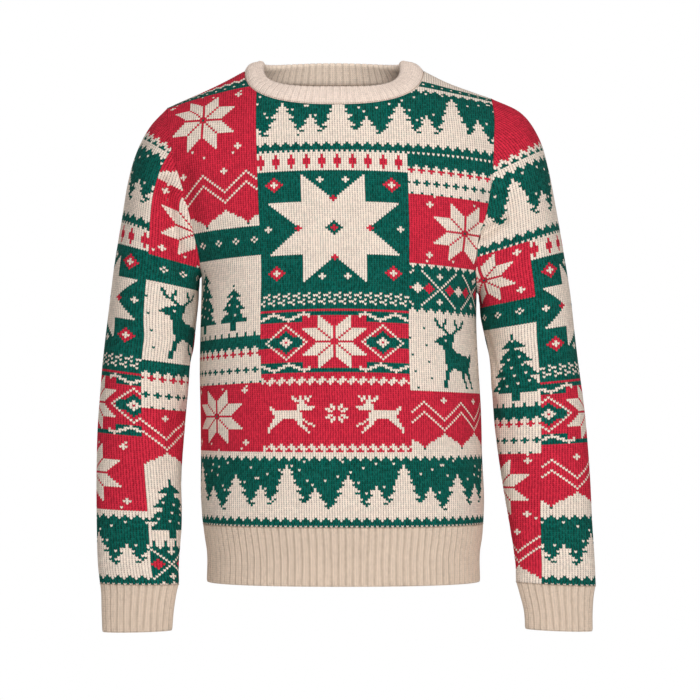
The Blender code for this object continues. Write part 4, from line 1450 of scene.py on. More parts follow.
def summed(corners: Array, vectors: Array, count: int) -> Array:
    """Adds each triangle's vector to its three corners."""
    total = np.zeros((count, 3))
    for k in range(3):
        for axis in range(3):
            total[:, axis] += np.bincount(corners[:, k], weights=vectors[:, axis], minlength=count)
    return total


def merged(points: Array, distance: float) -> Array:
    """Numbers points so that those in the same place share a number."""
    keys = np.round(points / distance).astype(np.int64)
    return np.unique(keys, axis=0, return_inverse=True)[1].ravel()


def is_whole(faces: Array) -> Array:
    """Tells which triangles have three different corners."""
    a, b, c = faces.T
    return (a != b) & (b != c) & (a != c)


def cells_as_triangles(ids: Array) -> Array:
    """Splits each cell of a grid into two triangles, in the order of the cells."""
    a, b, c, d = ids[:-1, :-1], ids[:-1, 1:], ids[1:, 1:], ids[1:, :-1]
    pairs = np.stack([np.stack([a, b, c], axis=-1), np.stack([a, c, d], axis=-1)], axis=-2)
    return pairs.reshape(-1, 3)


def zip_rim(outer: Array, inner: Array, step: int) -> Array:
    """Joins a fine line of points to a coarse one.

    Args:
        outer: The fine line's points.
        inner: The coarse line's points, one for every step of the fine line's.
        step: That number.

    Returns:
        Triangles between them.
    """
    faces = []
    half = step // 2
    for i in range(len(inner) - 1):
        chain = outer[i * step : (i + 1) * step + 1]
        near, far = inner[i], inner[i + 1]
        faces += [(near, chain[k], chain[k + 1]) for k in range(half)]
        faces.append((near, chain[half], far))
        faces += [(far, chain[k], chain[k + 1]) for k in range(half, step)]
    return np.array(faces)


def mesh_object(
    name: str,
    points: Array,
    faces: Array,
    stitches: Array,
    bake: Array,
    yarn: Array,
    material: bpy.types.Material,
) -> bpy.types.Object:
    """Makes an object from triangles, merging points that lie in the same place.

    Args:
        name: The object's name.
        points: Its points.
        faces: Its triangles, as rows of three points.
        stitches: Each point's place in stitches and rows.
        bake: Each point's place on the square for a baked picture.
        yarn: Each triangle's yarn.
        material: The material.

    Returns:
        The object.
    """
    same = merged(points, Wall.MERGE)
    places = np.zeros((same.max() + 1, 3))
    places[same] = points
    joined = same[faces]
    whole = is_whole(joined)
    faces, joined, yarn = faces[whole], joined[whole], yarn[whole]
    mesh = bpy.data.meshes.new(name)
    mesh.vertices.add(len(places))
    mesh.loops.add(3 * len(faces))
    mesh.polygons.add(len(faces))
    mesh.vertices.foreach_set("co", places.ravel())
    mesh.loops.foreach_set("vertex_index", joined.ravel())
    mesh.polygons.foreach_set("loop_start", np.arange(0, 3 * len(faces), 3))
    mesh.update(calc_edges=True)
    for layer, values in (("OFBake", bake), ("stitch", stitches)):
        mesh.uv_layers.new(name=layer).data.foreach_set("uv", values[faces.ravel()].ravel())
    mesh.uv_layers["OFBake"].active_render = True
    mesh.attributes.new("yarn", "FLOAT", "FACE").data.foreach_set("value", yarn)
    mesh.shade_smooth()
    mesh.materials.append(material)
    LOG.info("%s: %d triangles", name, len(faces))
    return place_object(name, mesh)


def place_object(name: str, data: bpy.types.ID) -> bpy.types.Object:
    """Puts a mesh, a light or a camera into the scene as an object."""
    thing = bpy.data.objects.new(name, data)
    bpy.context.scene.collection.objects.link(thing)
    return thing


def knit_wall(name: str, grid: Array, cells: Array, tube: bool, flip: bool) -> Wall:
    """Dresses a grid of half stitches with valleys, crests and a colour chart.

    Args:
        name: The piece's name.
        grid: Points by row and half stitch.
        cells: The yarn of each stitch by row and column.
        tube: Whether the last column meets the first.
        flip: Whether the grid's own order of points faces inwards.

    Returns:
        The wall.
    """
    rows, columns = grid.shape[:2]
    place = np.arange(columns) - columns // 2
    stitch = np.floor_divide(place[:-1], 2) + cells.shape[1] // 2
    yarns = cells[: rows - 1][:, np.clip(stitch, 0, cells.shape[1] - 1)]
    v, u = np.meshgrid(np.arange(rows, dtype=float), place / 2, indexing="ij")
    relief = np.where(place % 2 == 0, -VALLEY_DEPTH, CREST_HEIGHT)
    relief = np.broadcast_to(relief, (rows, columns)).copy()
    same = merged(grid.reshape(-1, 3), Wall.MERGE)
    relief[np.bincount(same)[same].reshape(rows, columns) > 1] = 0.0
    relief[[0, -1]] = 0.0
    return Wall(name, grid, relief, yarns, u, v, KNIT_THICKNESS, (INNER_STEP, INNER_STEP), tube, flip)


def rib_depth(place: Array) -> Array:
    """Gives how deep a 2x1 rib lies at a place in its pitch, as a share of its groove's depth."""
    from_groove = (place - GROOVE_PLACE + 0.5) % 1.0 - 0.5
    from_split = (place - SPLIT_PLACE + 0.5) % 1.0 - 0.5
    groove = np.exp(-((from_groove / GROOVE_WIDTH) ** 2))
    return groove + SPLIT_DEPTH * np.exp(-((from_split / SPLIT_WIDTH) ** 2))


def rib_stitches(place: Array) -> Array:
    """Counts stitches across 2x1 ribs, two narrow ones on each rib and one in its groove."""
    return 3 * np.floor(place) + np.interp(place % 1.0, RIB_STITCH_EDGES, (0.0, 1.0, 2.0, 3.0))


def rib_wall(name: str, grid: Array, tube: bool, flip: bool) -> Wall:
    """Dresses a grid of rows and rib columns as 2x1 ribbing with a rounded cast-off edge.

    Args:
        name: The piece's name.
        grid: Points by row, from the cast-off edge, and rib column.
        tube: Whether the last column meets the first.
        flip: Whether the grid's own order of points faces inwards.

    Returns:
        The wall.
    """
    rows, columns = grid.shape[:2]
    place = np.arange(columns) / RIB_COLUMNS
    edge = np.array([CAST_OFF_TURN] + [0.0] * (rows - 1))
    relief = -GROOVE_DEPTH * rib_depth(place)[None, :] - edge[:, None]
    v, u = np.meshgrid(np.arange(rows, dtype=float), rib_stitches(place), indexing="ij")
    yarns = np.zeros((rows - 1, columns - 1))
    return Wall(name, grid, relief, yarns, u, v, RIB_THICKNESS, (2, RIB_COLUMNS), tube, flip)


def even_line(points: Array, count: int, row: float = 0.0, wander: float = 0.0) -> Array:
    """Puts count + 1 points along a dense line, at even steps that may wander a little.

    Args:
        points: The line.
        count: How many steps it gets.
        row: The line's number in its cloth, which changes how it wanders.
        wander: How far a point may stray along the line.

    Returns:
        The points.
    """
    run = run_along(points)
    share = np.linspace(0.0, 1.0, count + 1)
    ribs = share * count / RIB_COLUMNS
    waves = ((1.9, 0.13, 0.0), (3.7, -0.21, 1.0), (0.6, 0.08, 0.0))
    stray = sum(np.sin(by_rib * ribs + by_row * row + start) for by_rib, by_row, start in waves)
    at = run[-1] * share + wander * stray * np.sin(math.pi * share) ** 0.25
    return np.stack([np.interp(at, run, points[:, k]) for k in range(points.shape[1])], axis=1)


@dataclass(frozen=True)
class Hem:
    """Half of the hem's ribbed band."""

    face: Face
    ribs: int = 51
    samples: int = 1200

    def grid(self) -> Array:
        """Lays out the ribbing's points from its lower edge up, by row and rib column."""
        rows = 2 * round((HEM_SEAM_HEIGHT - HEM_HEIGHT) / COURSE / 2)
        turn = np.linspace(math.pi, 0.0, self.samples + 1)
        power = 2 / SIDE_ROUNDNESS
        lines = []
        for row, height in enumerate(np.linspace(HEM_HEIGHT, HEM_SEAM_HEIGHT, rows + 1)):
            out = np.sign(np.cos(turn)) * np.abs(np.cos(turn)) ** power
            x = read(BODY, "centre", height) + read(BODY, "half_width", height) * out
            y = self.face * read(BODY, Body(self.face).depths, height) * np.abs(np.sin(turn)) ** power
            line = np.stack([x, y, np.full_like(x, height)], axis=1)
            lines.append(even_line(line, self.ribs * RIB_COLUMNS, row, RIB_WANDER))
        return np.array(lines)

    def build(self, name: str, yarn: bpy.types.Material) -> bpy.types.Object:
        """Knits the band."""
        return rib_wall(name, self.grid(), tube=False, flip=self.face == Face.BACK).build(yarn)


@dataclass(frozen=True)
class Cuff:
    """One sleeve's ribbed cuff."""

    side: Side
    ribs: int = 25
    length: float = 62 * MM
    samples: int = 1200

    def grid(self) -> Array:
        """Lays out the ribbing's points from its lower edge up, round from the underarm."""
        stations = dict(CUFFS[self.side])
        last = len(stations["outer_x"]) - 1
        stations["index"] = np.arange(last + 1, dtype=float)
        rows = 2 * round(self.length / COURSE / 2)
        turn = np.linspace(-math.pi, math.pi, self.samples + 1)
        lines = []
        for row, along in enumerate(np.linspace(last, 0.0, rows + 1)):
            here = {name: float(read(stations, name, along, "index")) for name in CUFFS[self.side]}
            outer = np.array([self.side * here["outer_x"], 0.0, here["outer_z"]])
            inner = np.array([self.side * here["inner_x"], 0.0, here["inner_z"]])
            middle = (outer + inner) / 2 - np.array([0.0, here["forward"], 0.0])
            deep = np.array([0.0, -here["half_depth"], 0.0])
            ring = middle + np.cos(turn)[:, None] * (outer - inner) / 2 + np.sin(turn)[:, None] * deep
            lines.append(even_line(ring, self.ribs * RIB_COLUMNS, row, RIB_WANDER))
        return np.array(lines)

    def build(self, name: str, yarn: bpy.types.Material) -> bpy.types.Object:
        """Knits the cuff."""
        return rib_wall(name, self.grid(), tube=True, flip=self.side == Side.LEFT).build(yarn)


@dataclass
class Collar:
    """The doubled neck band, ribbed outside and plain inside, on the neck seam.

    It is thicker and bulges more at the sides. Its ends on the seam stay seam_share of the
    neck's half width from the middle. lean_turned is how much of its lean along the seam is
    turned square to it.
    """

    ribs: int = 72
    thickness: float = 6.8 * MM
    side_thickness: float = 12.0 * MM
    side_bulge: float = 2.6 * MM
    groove: float = 0.9 * MM
    fold_groove: float = 0.8
    seam_share: float = 0.99999
    lean_turned: float = 0.5
    smoothings: int = 12
    samples: int = 700

    # How far the outside bulges at each share of the height, in millimetres, and how much of
    # the ribs' groove shows there.
    OUTSIDE = (
        (0.00, -0.4, 0.5),
        (0.05, 0.2, 1.0),
        (0.18, 0.7, 1.0),
        (0.34, 1.0, 1.0),
        (0.50, 1.0, 1.0),
        (0.68, 0.8, 1.0),
        (0.86, 0.3, 1.0),
    )
    FOLD_TURNS = (0, 26, 52, 78, 102, 128, 154, 180)
    # How far the inside is dented at each share of the height. It is sewn down below the seam.
    INSIDE = (
        (0.86, 0.1),
        (0.66, 0.3),
        (0.46, 0.3),
        (0.26, 0.2),
        (0.08, 0.1),
        (-0.08, 0.9),
        (-0.17, 2.6),
        (-0.20, 3.4),
    )

    def __post_init__(self) -> None:
        dense = []
        for face in (Face.FRONT, Face.BACK):
            turn = np.linspace(math.pi, 0.0, self.samples)[:: -int(face)]
            cosine = np.sign(np.cos(turn)) * np.abs(np.cos(turn)) ** (2 / NECK_ROUNDNESS)
            x = NECK_CENTRE + self.seam_share * NECK_HALF_WIDTH * cosine
            body = Body(face)
            dense.append(body.place(x, np.minimum(body.neck_height(x), body.shoulder(x)))[:-1])
        loop = np.concatenate(dense)
        self.seam = even_line(np.concatenate([loop, loop[:1]]), self.ribs * RIB_COLUMNS)
        self.centre = np.array([NECK_CENTRE, (loop[:, 1].min() + loop[:, 1].max()) / 2, 0.0])

    def frame_lines(self) -> tuple[Array, Array]:
        """Works out how the band stands along the seam.

        Returns:
            Its stand from the seam to its fold, and its outward direction, at each seam point.
        """
        seam, centre = self.seam, self.centre
        to_side = np.clip(np.abs(seam[:, 0] - centre[0]) / NECK_HALF_WIDTH, 0.0, 1.0) ** 2
        ends = np.where(seam[:, 1] < centre[1], COLLAR_LEAN_FRONT, COLLAR_LEAN_BACK)
        to_left = np.clip((seam[:, 0] - centre[0]) / NECK_HALF_WIDTH, 0.0, 1.0) ** 2
        lean = ends + (COLLAR_LEAN_SIDE - ends) * to_side + COLLAR_LEAN_LEFT * to_left
        rise = COLLAR_RISE + (COLLAR_SIDE_RISE - COLLAR_RISE) * to_side
        inward = (centre - seam) * np.array([1.0, 1.0, 0.0])
        stand = unit(inward) * lean[:, None] + rise[:, None] * np.array([0.0, 0.0, 1.0])
        along = np.empty_like(seam)
        along[1:-1] = seam[2:] - seam[:-2]
        along[0] = along[-1] = seam[1] - seam[-2]
        for _ in range(self.smoothings):
            along[1:-1] = along[1:-1] / 2 + (along[2:] + along[:-2]) / 4
            along[0] = along[-1] = along[0] / 2 + (along[1] + along[-2]) / 4
        along = unit(along)
        stand -= np.sum(stand * along, axis=1, keepdims=True) * along * self.lean_turned
        out = unit(np.cross(along, stand))
        return stand, out * np.sign(np.sum(out * -inward, axis=1, keepdims=True))

    def rings(self) -> Array:
        """Lays out the band's points by ring: up the outside, over the fold, down the inside."""
        stand, out = self.frame_lines()
        height = np.linalg.norm(stand, axis=1, keepdims=True)
        up = stand / height
        to_side = np.clip(np.abs(self.seam[:, :1] - NECK_CENTRE) / NECK_HALF_WIDTH, 0.0, 1.0) ** 2
        thickness = self.thickness + (self.side_thickness - self.thickness) * to_side
        radius = thickness / 2
        straight = height - radius
        groove = self.groove * rib_depth(np.arange(len(self.seam)) / RIB_COLUMNS)[:, None]
        lines = []
        for share, bulge, shown in self.OUTSIDE:
            roll = self.side_bulge * to_side * math.sin(math.pi * share)
            lines.append(self.seam + share * straight * up + (bulge * MM + roll - shown * groove) * out)
        for turn in map(math.radians, self.FOLD_TURNS):
            over = math.cos(turn) * out + math.sin(turn) * up
            reach = radius - self.fold_groove * groove
            lines.append(self.seam + straight * up - radius * out + reach * over)
        for share, dent in self.INSIDE:
            lines.append(self.seam + share * straight * up + (groove + dent * MM - thickness) * out)
        return np.array(lines + lines[:1])

    def build(self, name: str, yarn: bpy.types.Material) -> bpy.types.Object:
        """Knits the band as a ribbed ring.

        Args:
            name: The object's name.
            yarn: Its material.

        Returns:
            The object.
        """
        grid = self.rings()
        rows, columns = grid.shape[:2]
        faces = cells_as_triangles(np.arange(rows * columns).reshape(rows, columns))
        across = rib_stitches(np.arange(columns) / RIB_COLUMNS)
        v, u = np.meshgrid(run_along(grid[:, 0]) / COURSE, across, indexing="ij")
        stitches = np.stack([u, v], axis=-1).reshape(-1, 2)
        yarns = np.zeros((rows - 1, 2 * (columns - 1)))
        yarns[len(self.OUTSIDE) + len(self.FOLD_TURNS) // 2 : -1] = float(Yarn.BACKING)
        bake = bake_band(0.0, 1.0, (rows, columns))
        return mesh_object(name, grid.reshape(-1, 3), faces, stitches, bake, yarns.ravel(), yarn)


Tree = bpy.types.NodeTree
Socket = bpy.types.NodeSocket
Input = float | tuple | Socket
MATH = "ShaderNodeMath"
VECTOR_MATH = "ShaderNodeVectorMath"
NOISE = "ShaderNodeTexNoise"
MIX = "ShaderNodeMix"


def colour(code: str) -> tuple[float, float, float, float]:
    """Turns an sRGB hex colour into the linear values that shaders take."""
    values = [int(code[i : i + 2], 16) / 255 for i in (1, 3, 5)]
    linear = [v / 12.92 if v <= 0.04045 else ((v + 0.055) / 1.055) ** 2.4 for v in values]
    return (*linear, 1.0)


def add(
    tree: Tree,
    kind: str,
    *values: Input,
    inputs: dict[int | str, Input] | None = None,
    take: int | str = 0,
    **settings: object,
) -> Socket:
    """Adds a node.

    Args:
        tree: The node tree.
        kind: The node's type.
        values: Values or sockets for its first inputs.
        inputs: The same for other inputs, by number or name.
        take: The number or name of the output that is wanted.
        settings: Its other settings.

    Returns:
        That output.
    """
    node = tree.nodes.new(kind)
    for key, value in settings.items():
        setattr(node, key, value)
    for key, value in (dict(enumerate(values)) | (inputs or {})).items():
        if isinstance(value, Socket):
            tree.links.new(value, node.inputs[key])
        else:
            node.inputs[key].default_value = value
    return node.outputs[take]


@dataclass(frozen=True)
class KnitFinish:
    """Soft acrylic and wool yarn in one machine-knitted cloth.

    Its short fibres scatter light, so the cloth looks matt, with hardly a highlight and a faint
    sheen. The gaps between legs get painted shade, and in a patterned cloth show the yarns behind
    them. The rows' edges and the legs' sides get painted shade too. Each leg has a slightly
    different tone, and the cloth is a little cloudy. Clouds and fibres are given by their real
    size. tone is the colour's share before the clouds and fibres are added.

    groove is how much painted shade darkens the grooves between ribs. A patterned cloth takes each
    face's colour from its yarn attribute, and else ground is the yarn's colour outside.
    """

    name: str
    ground: str = ""
    groove: float = 0.0
    patterned: bool = False
    tone: float = 0.91
    clouds: float = 125 / 3 * MM
    fibres: float = 2 / 3 * MM

    CREAM = "#F7E7D7"
    GREEN = "#0B5D52"
    RED = "#D62F45"
    # The red yarn behind the stitches, made darker as painted shade for the deep gaps it shows in.
    RED_BEHIND_SHADED = "#8E1F2C"
    # A paler copy of the rib yarn for the bands' inside faces: painted light against their shade.
    RIB_INSIDE_PAINTED_PALER = "#FFEAD6"

    LEG_ROUNDNESS = 0.6
    STRAND_ROUNDNESS = 0.8
    VALLEY_SHARPNESS = 3.2
    GROOVE_EDGES = (0.02, 0.17)

    def build(self) -> bpy.types.Material:
        """Makes the material, with legs, gaps, fibres and a soft sheen."""
        material = bpy.data.materials.new(self.name)
        material.use_nodes = True
        tree = material.node_tree
        stitch = self.stitch_parts(tree)
        yarn = add(tree, "ShaderNodeAttribute", take="Fac", attribute_name="yarn")
        between_rows = add(tree, MATH, 1.0, stitch["strand"], operation="SUBTRACT")
        open_row = add(tree, MATH, between_rows, 0.8, 0.3, operation="MULTIPLY_ADD")
        gap = add(tree, MATH, stitch["valley"], open_row, operation="MULTIPLY")
        if self.patterned:
            base, painted_shade, uneven = self.jacquard(tree, yarn, stitch["number"], gap)
        else:
            base, painted_shade, uneven = self.ribbing(tree, yarn, stitch["groove"], gap)
        places = add(tree, "ShaderNodeTexCoord", take="Object")
        cloudy = add(tree, NOISE, inputs={"Vector": places, "Scale": 1 / self.clouds, "Detail": 3.0})
        fibres = add(tree, NOISE, inputs={"Vector": places, "Scale": 1 / self.fibres, "Detail": 2.0})
        leg_tone = add(tree, "ShaderNodeTexWhiteNoise", stitch["leg_number"], noise_dimensions="3D")
        leg_tone = add(tree, MATH, leg_tone, 0.45, operation="SUBTRACT")
        leg_side = add(tree, MATH, 1.0, stitch["leg"], operation="SUBTRACT")
        tone: Input = self.tone
        # The rows' edges and the legs' sides are darkened here: painted shade of the stitches' own relief.
        parts = ((cloudy, 0.12), (fibres, 0.14), (leg_tone, uneven), (between_rows, -0.10), (leg_side, -0.10))
        for part, share in parts:
            tone = add(tree, MATH, part, share, tone, operation="MULTIPLY_ADD")
        # Painted shade in the gaps between stitches, and in ribbing in its grooves too.
        tone = add(tree, MATH, tone, painted_shade, operation="SUBTRACT")
        shade = add(tree, "ShaderNodeCombineColor", tone, tone, tone)
        mix = {0: 1.0, 6: base, 7: shade}
        toned = add(tree, MIX, inputs=mix, take=2, data_type="RGBA", blend_type="MULTIPLY")
        round_leg = add(tree, MATH, stitch["leg"], 0.7, 0.3, operation="MULTIPLY_ADD")
        round_strand = add(tree, MATH, stitch["strand"], 0.5, 0.5, operation="MULTIPLY_ADD")
        height = add(tree, MATH, round_leg, round_strand, operation="MULTIPLY")
        lift = add(tree, MATH, fibres, 0.35, height, operation="MULTIPLY_ADD")
        relief = {"Strength": 0.6, "Distance": 0.7 * MM, "Height": lift}
        shader = tree.nodes["Principled BSDF"]
        tree.links.new(toned, shader.inputs["Base Color"])
        tree.links.new(add(tree, "ShaderNodeBump", inputs=relief), shader.inputs["Normal"])
        shader.inputs["Roughness"].default_value = 0.92
        shader.inputs["Specular IOR Level"].default_value = 0.04
        shader.inputs["Sheen Weight"].default_value = 0.015
        shader.inputs["Sheen Roughness"].default_value = 0.5
        return material

    def stitch_parts(self, tree: Tree) -> dict[str, Socket]:
        """Works out where in a stitch each point lies.

        In ribbing the material also draws the stitches' slant, which a patterned cloth's mesh has.

        Args:
            tree: The material's tree.

        Returns:
            The leg's and the strand's roundness, the valley between stitches, the rib's groove
            and the stitch's and the leg's number.
        """
        place = add(tree, "ShaderNodeUVMap", uv_map="stitch")
        u = add(tree, "ShaderNodeSeparateXYZ", place)
        v = u.node.outputs[1]
        from_start = add(tree, MATH, u, operation="FRACT")
        from_middle = add(tree, MATH, from_start, 0.5, operation="SUBTRACT")
        from_middle = add(tree, MATH, from_middle, operation="ABSOLUTE")
        if not self.patterned:
            v = add(tree, MATH, v, from_middle, operation="SUBTRACT")
        legs = add(tree, MATH, u, 2.0, operation="MULTIPLY")
        found = {}
        for name, way, roundness in (("leg", legs, self.LEG_ROUNDNESS), ("strand", v, self.STRAND_ROUNDNESS)):
            turn = add(tree, MATH, add(tree, MATH, way, operation="FRACT"), math.pi, operation="MULTIPLY")
            wave = add(tree, MATH, turn, operation="SINE")
            found[name] = add(tree, MATH, wave, roundness, operation="POWER")
        from_middle = add(tree, MATH, from_middle, 2.0, operation="MULTIPLY")
        found["valley"] = add(tree, MATH, from_middle, self.VALLEY_SHARPNESS, operation="POWER")
        # Where the ribs' grooves lie, only to place painted shade in them.
        pitch = add(tree, MATH, add(tree, MATH, u, 3.0, operation="DIVIDE"), operation="FRACT")
        from_groove = add(tree, MATH, pitch, 2.5 / 3, operation="SUBTRACT")
        from_groove = add(tree, MATH, from_groove, operation="ABSOLUTE")
        near, far = self.GROOVE_EDGES
        inputs = {"Value": from_groove, "From Min": near, "From Max": far, "To Min": 1.0, "To Max": 0.0}
        found["groove"] = add(tree, "ShaderNodeMapRange", inputs=inputs, interpolation_type="SMOOTHSTEP")
        leg_place = add(tree, VECTOR_MATH, place, (2.0, 1.0, 1.0), operation="MULTIPLY")
        found["number"] = add(tree, VECTOR_MATH, place, operation="FLOOR")
        found["leg_number"] = add(tree, VECTOR_MATH, leg_place, operation="FLOOR")
        return found

    def ribbing(self, tree: Tree, yarn: Socket, groove: Socket, gap: Socket) -> tuple[Input, ...]:
        """Picks ribbing's colour, painted paler on the inside faces to lift their shade.

        Args:
            tree: The material's tree.
            yarn: The yarn attribute.
            groove: How near each point is to a groove.
            gap: How open the knitting is at each point.

        Returns:
            The colour, how much painted shade darkens it at each point, and how uneven its legs' tones are.
        """
        inside = add(tree, MATH, yarn, 0.5, operation="GREATER_THAN")
        # The inside faces take the paler copy of the same yarn: painted light.
        mix = {0: inside, 6: colour(self.ground), 7: colour(self.RIB_INSIDE_PAINTED_PALER)}
        base = add(tree, MIX, inputs=mix, take=2, data_type="RGBA")
        # Painted shade in the grooves, a little more on the inside faces, and in the gaps.
        depth = add(tree, MATH, inside, 0.14, self.groove, operation="MULTIPLY_ADD")
        depth = add(tree, MATH, groove, depth, operation="MULTIPLY")
        return base, add(tree, MATH, gap, 0.34, depth, operation="MULTIPLY_ADD"), 0.14

    def jacquard(self, tree: Tree, yarn: Socket, number: Socket, gap: Socket) -> tuple[Input, ...]:
        """Picks each stitch's yarn, with the yarns behind it peeping out between stitches and painted
        shade darkening those gaps.

        Args:
            tree: The material's tree.
            yarn: The yarn attribute.
            number: The stitch's number.
            gap: How open the knitting is at each point.

        Returns:
            The colour, how much painted shade darkens it at each point, and how uneven its legs' tones are.
        """
        single = add(tree, "ShaderNodeTexWhiteNoise", number, noise_dimensions="3D")
        share = add(tree, MATH, yarn, 0.25, operation="MULTIPLY")
        ramps = (
            (share, ((0.0, self.CREAM), (0.2, self.GREEN), (0.45, self.RED))),
            (single, ((0.0, self.CREAM), (0.45, self.GREEN), (0.75, self.RED))),
            # The yarns that show in the gaps, the red one as a darker copy: painted shade.
            (single, ((0.0, self.RED_BEHIND_SHADED), (0.72, self.GREEN))),
        )
        colours = []
        for factor, stops in ramps:
            colours.append(add(tree, "ShaderNodeValToRGB", factor))
            ramp = colours[-1].node.color_ramp
            ramp.interpolation = "CONSTANT"
            while len(ramp.elements) < len(stops):
                ramp.elements.new(0.5)
            for element, (position, code) in zip(ramp.elements, stops):
                element.position = position
                element.color = colour(code)
        front, reverse, behind = colours
        inside = add(tree, MATH, share, 0.7, operation="GREATER_THAN")
        face = add(tree, MIX, inputs={0: inside, 6: front, 7: reverse}, take=2, data_type="RGBA")
        pale = add(tree, MATH, yarn, 0.5, operation="LESS_THAN")
        shown = add(tree, MATH, pale, 0.55, 0.15, operation="MULTIPLY_ADD")
        shown = add(tree, MATH, gap, shown, operation="MULTIPLY")
        base = add(tree, MIX, inputs={0: shown, 6: face, 7: behind}, take=2, data_type="RGBA")
        # How much painted shade darkens each yarn's gaps: less on cream, where the yarns behind show instead.
        painted_shade = add(tree, MATH, pale, -0.55, 1.15, operation="MULTIPLY_ADD")
        uneven = add(tree, MATH, yarn, -0.28, 0.90, operation="MULTIPLY_ADD")
        uneven = add(tree, MATH, pale, -0.70, uneven, operation="MULTIPLY_ADD")
        return base, add(tree, MATH, gap, painted_shade, operation="MULTIPLY"), uneven


@dataclass(frozen=True)
class ThreadFinish:
    """Twisted polyester sewing thread: smoother than the yarn, with fine darker turns."""

    name: str = "polyester_linking_thread"
    code: str = "#B29A83"
    turns_code: str = "#A08B79"
    turns: float = 5 / 9 * MM

    def build(self) -> bpy.types.Material:
        """Makes the material."""
        material = bpy.data.materials.new(self.name)
        material.use_nodes = True
        tree = material.node_tree
        shader = tree.nodes["Principled BSDF"]
        places = add(tree, "ShaderNodeTexCoord", take="Object")
        twist = add(tree, NOISE, inputs={"Vector": places, "Scale": 1 / self.turns})
        share = add(tree, MATH, twist, 0.5, operation="MULTIPLY")
        mix = {0: share, 6: colour(self.code), 7: colour(self.turns_code)}
        tree.links.new(add(tree, MIX, inputs=mix, take=2, data_type="RGBA"), shader.inputs["Base Color"])
        relief = {"Strength": 0.5, "Distance": 0.2 * MM, "Height": twist}
        tree.links.new(add(tree, "ShaderNodeBump", inputs=relief), shader.inputs["Normal"])
        shader.inputs["Roughness"].default_value = 0.8
        return material


@dataclass(frozen=True)
class LinkingStitch:
    """The small stitches that join two knitted pieces along a seam."""

    step: float = 3.1 * MM
    length: float = 2.7 * MM
    width: float = 0.9 * MM

    def build(self, name: str, line: Array, material: bpy.types.Material) -> bpy.types.Object:
        """Lays stitches along a line with Geometry Nodes and keeps the result as a mesh.

        Args:
            name: The object's name.
            line: The points of the seam.
            material: The thread.

        Returns:
            The stitches as one object.
        """
        mesh = bpy.data.meshes.new(name + "_line")
        mesh.from_pydata([tuple(p) for p in line], [(i, i + 1) for i in range(len(line) - 1)], [])
        guide = place_object(name + "_line", mesh)
        modifier = guide.modifiers.new("stitches", "NODES")
        modifier.node_group, sizes = self.tree(name, material)
        for identifier, size in sizes.items():
            modifier[identifier] = size
        bpy.context.view_layer.update()
        graph = bpy.context.evaluated_depsgraph_get()
        made = bpy.data.meshes.new_from_object(guide.evaluated_get(graph), depsgraph=graph)
        bpy.data.objects.remove(guide, do_unlink=True)
        made.name = name
        made.shade_smooth()
        LOG.info("%s: %d faces", name, len(made.polygons))
        return place_object(name, made)

    def tree(self, name: str, material: bpy.types.Material) -> tuple[Tree, dict[str, float]]:
        """Makes the node tree that turns a line of edges into a row of stitches.

        Args:
            name: The tree's name.
            material: The thread.

        Returns:
            The tree, and each size by the identifier of its input.
        """
        tree = bpy.data.node_groups.new(name, "GeometryNodeTree")
        face = tree.interface
        face.new_socket("Geometry", in_out="INPUT", socket_type="NodeSocketGeometry")
        face.new_socket("Geometry", in_out="OUTPUT", socket_type="NodeSocketGeometry")
        sizes = {}
        for size_name, size in (("Step", self.step), ("Length", self.length), ("Width", self.width)):
            socket = face.new_socket(size_name, in_out="INPUT", socket_type="NodeSocketFloat")
            sizes[socket.identifier] = size
        start, end = tree.nodes.new("NodeGroupInput").outputs, tree.nodes.new("NodeGroupOutput")
        curve = add(tree, "GeometryNodeMeshToCurve", start["Geometry"])
        cut = {"Curve": curve, "Length": start["Step"]}
        even = add(tree, "GeometryNodeResampleCurve", inputs=cut, mode="LENGTH")
        tangent = add(tree, "GeometryNodeInputTangent")
        turn = add(tree, "FunctionNodeAlignRotationToVector", inputs={"Vector": tangent}, axis="Z")
        ball = {"Segments": 7, "Rings": 5, "Radius": 0.5}
        bead = add(tree, "GeometryNodeMeshUVSphere", inputs=ball)
        size = add(tree, "ShaderNodeCombineXYZ", start["Width"], start["Width"], start["Length"])
        inputs = {"Points": even, "Instance": bead, "Rotation": turn, "Scale": size}
        stitches = add(tree, "GeometryNodeInstanceOnPoints", inputs=inputs)
        real = add(tree, "GeometryNodeRealizeInstances", stitches)
        dressed = add(tree, "GeometryNodeSetMaterial", inputs={"Geometry": real, "Material": material})
        tree.links.new(dressed, end.inputs[0])
        return tree, sizes


@dataclass(frozen=True)
class Cut:
    """A cloth piece's node, its flat width and length, its flat area and how it is held."""

    node: str
    slot: str
    flat: tuple[float, float]
    area: float
    held: str = "hung"


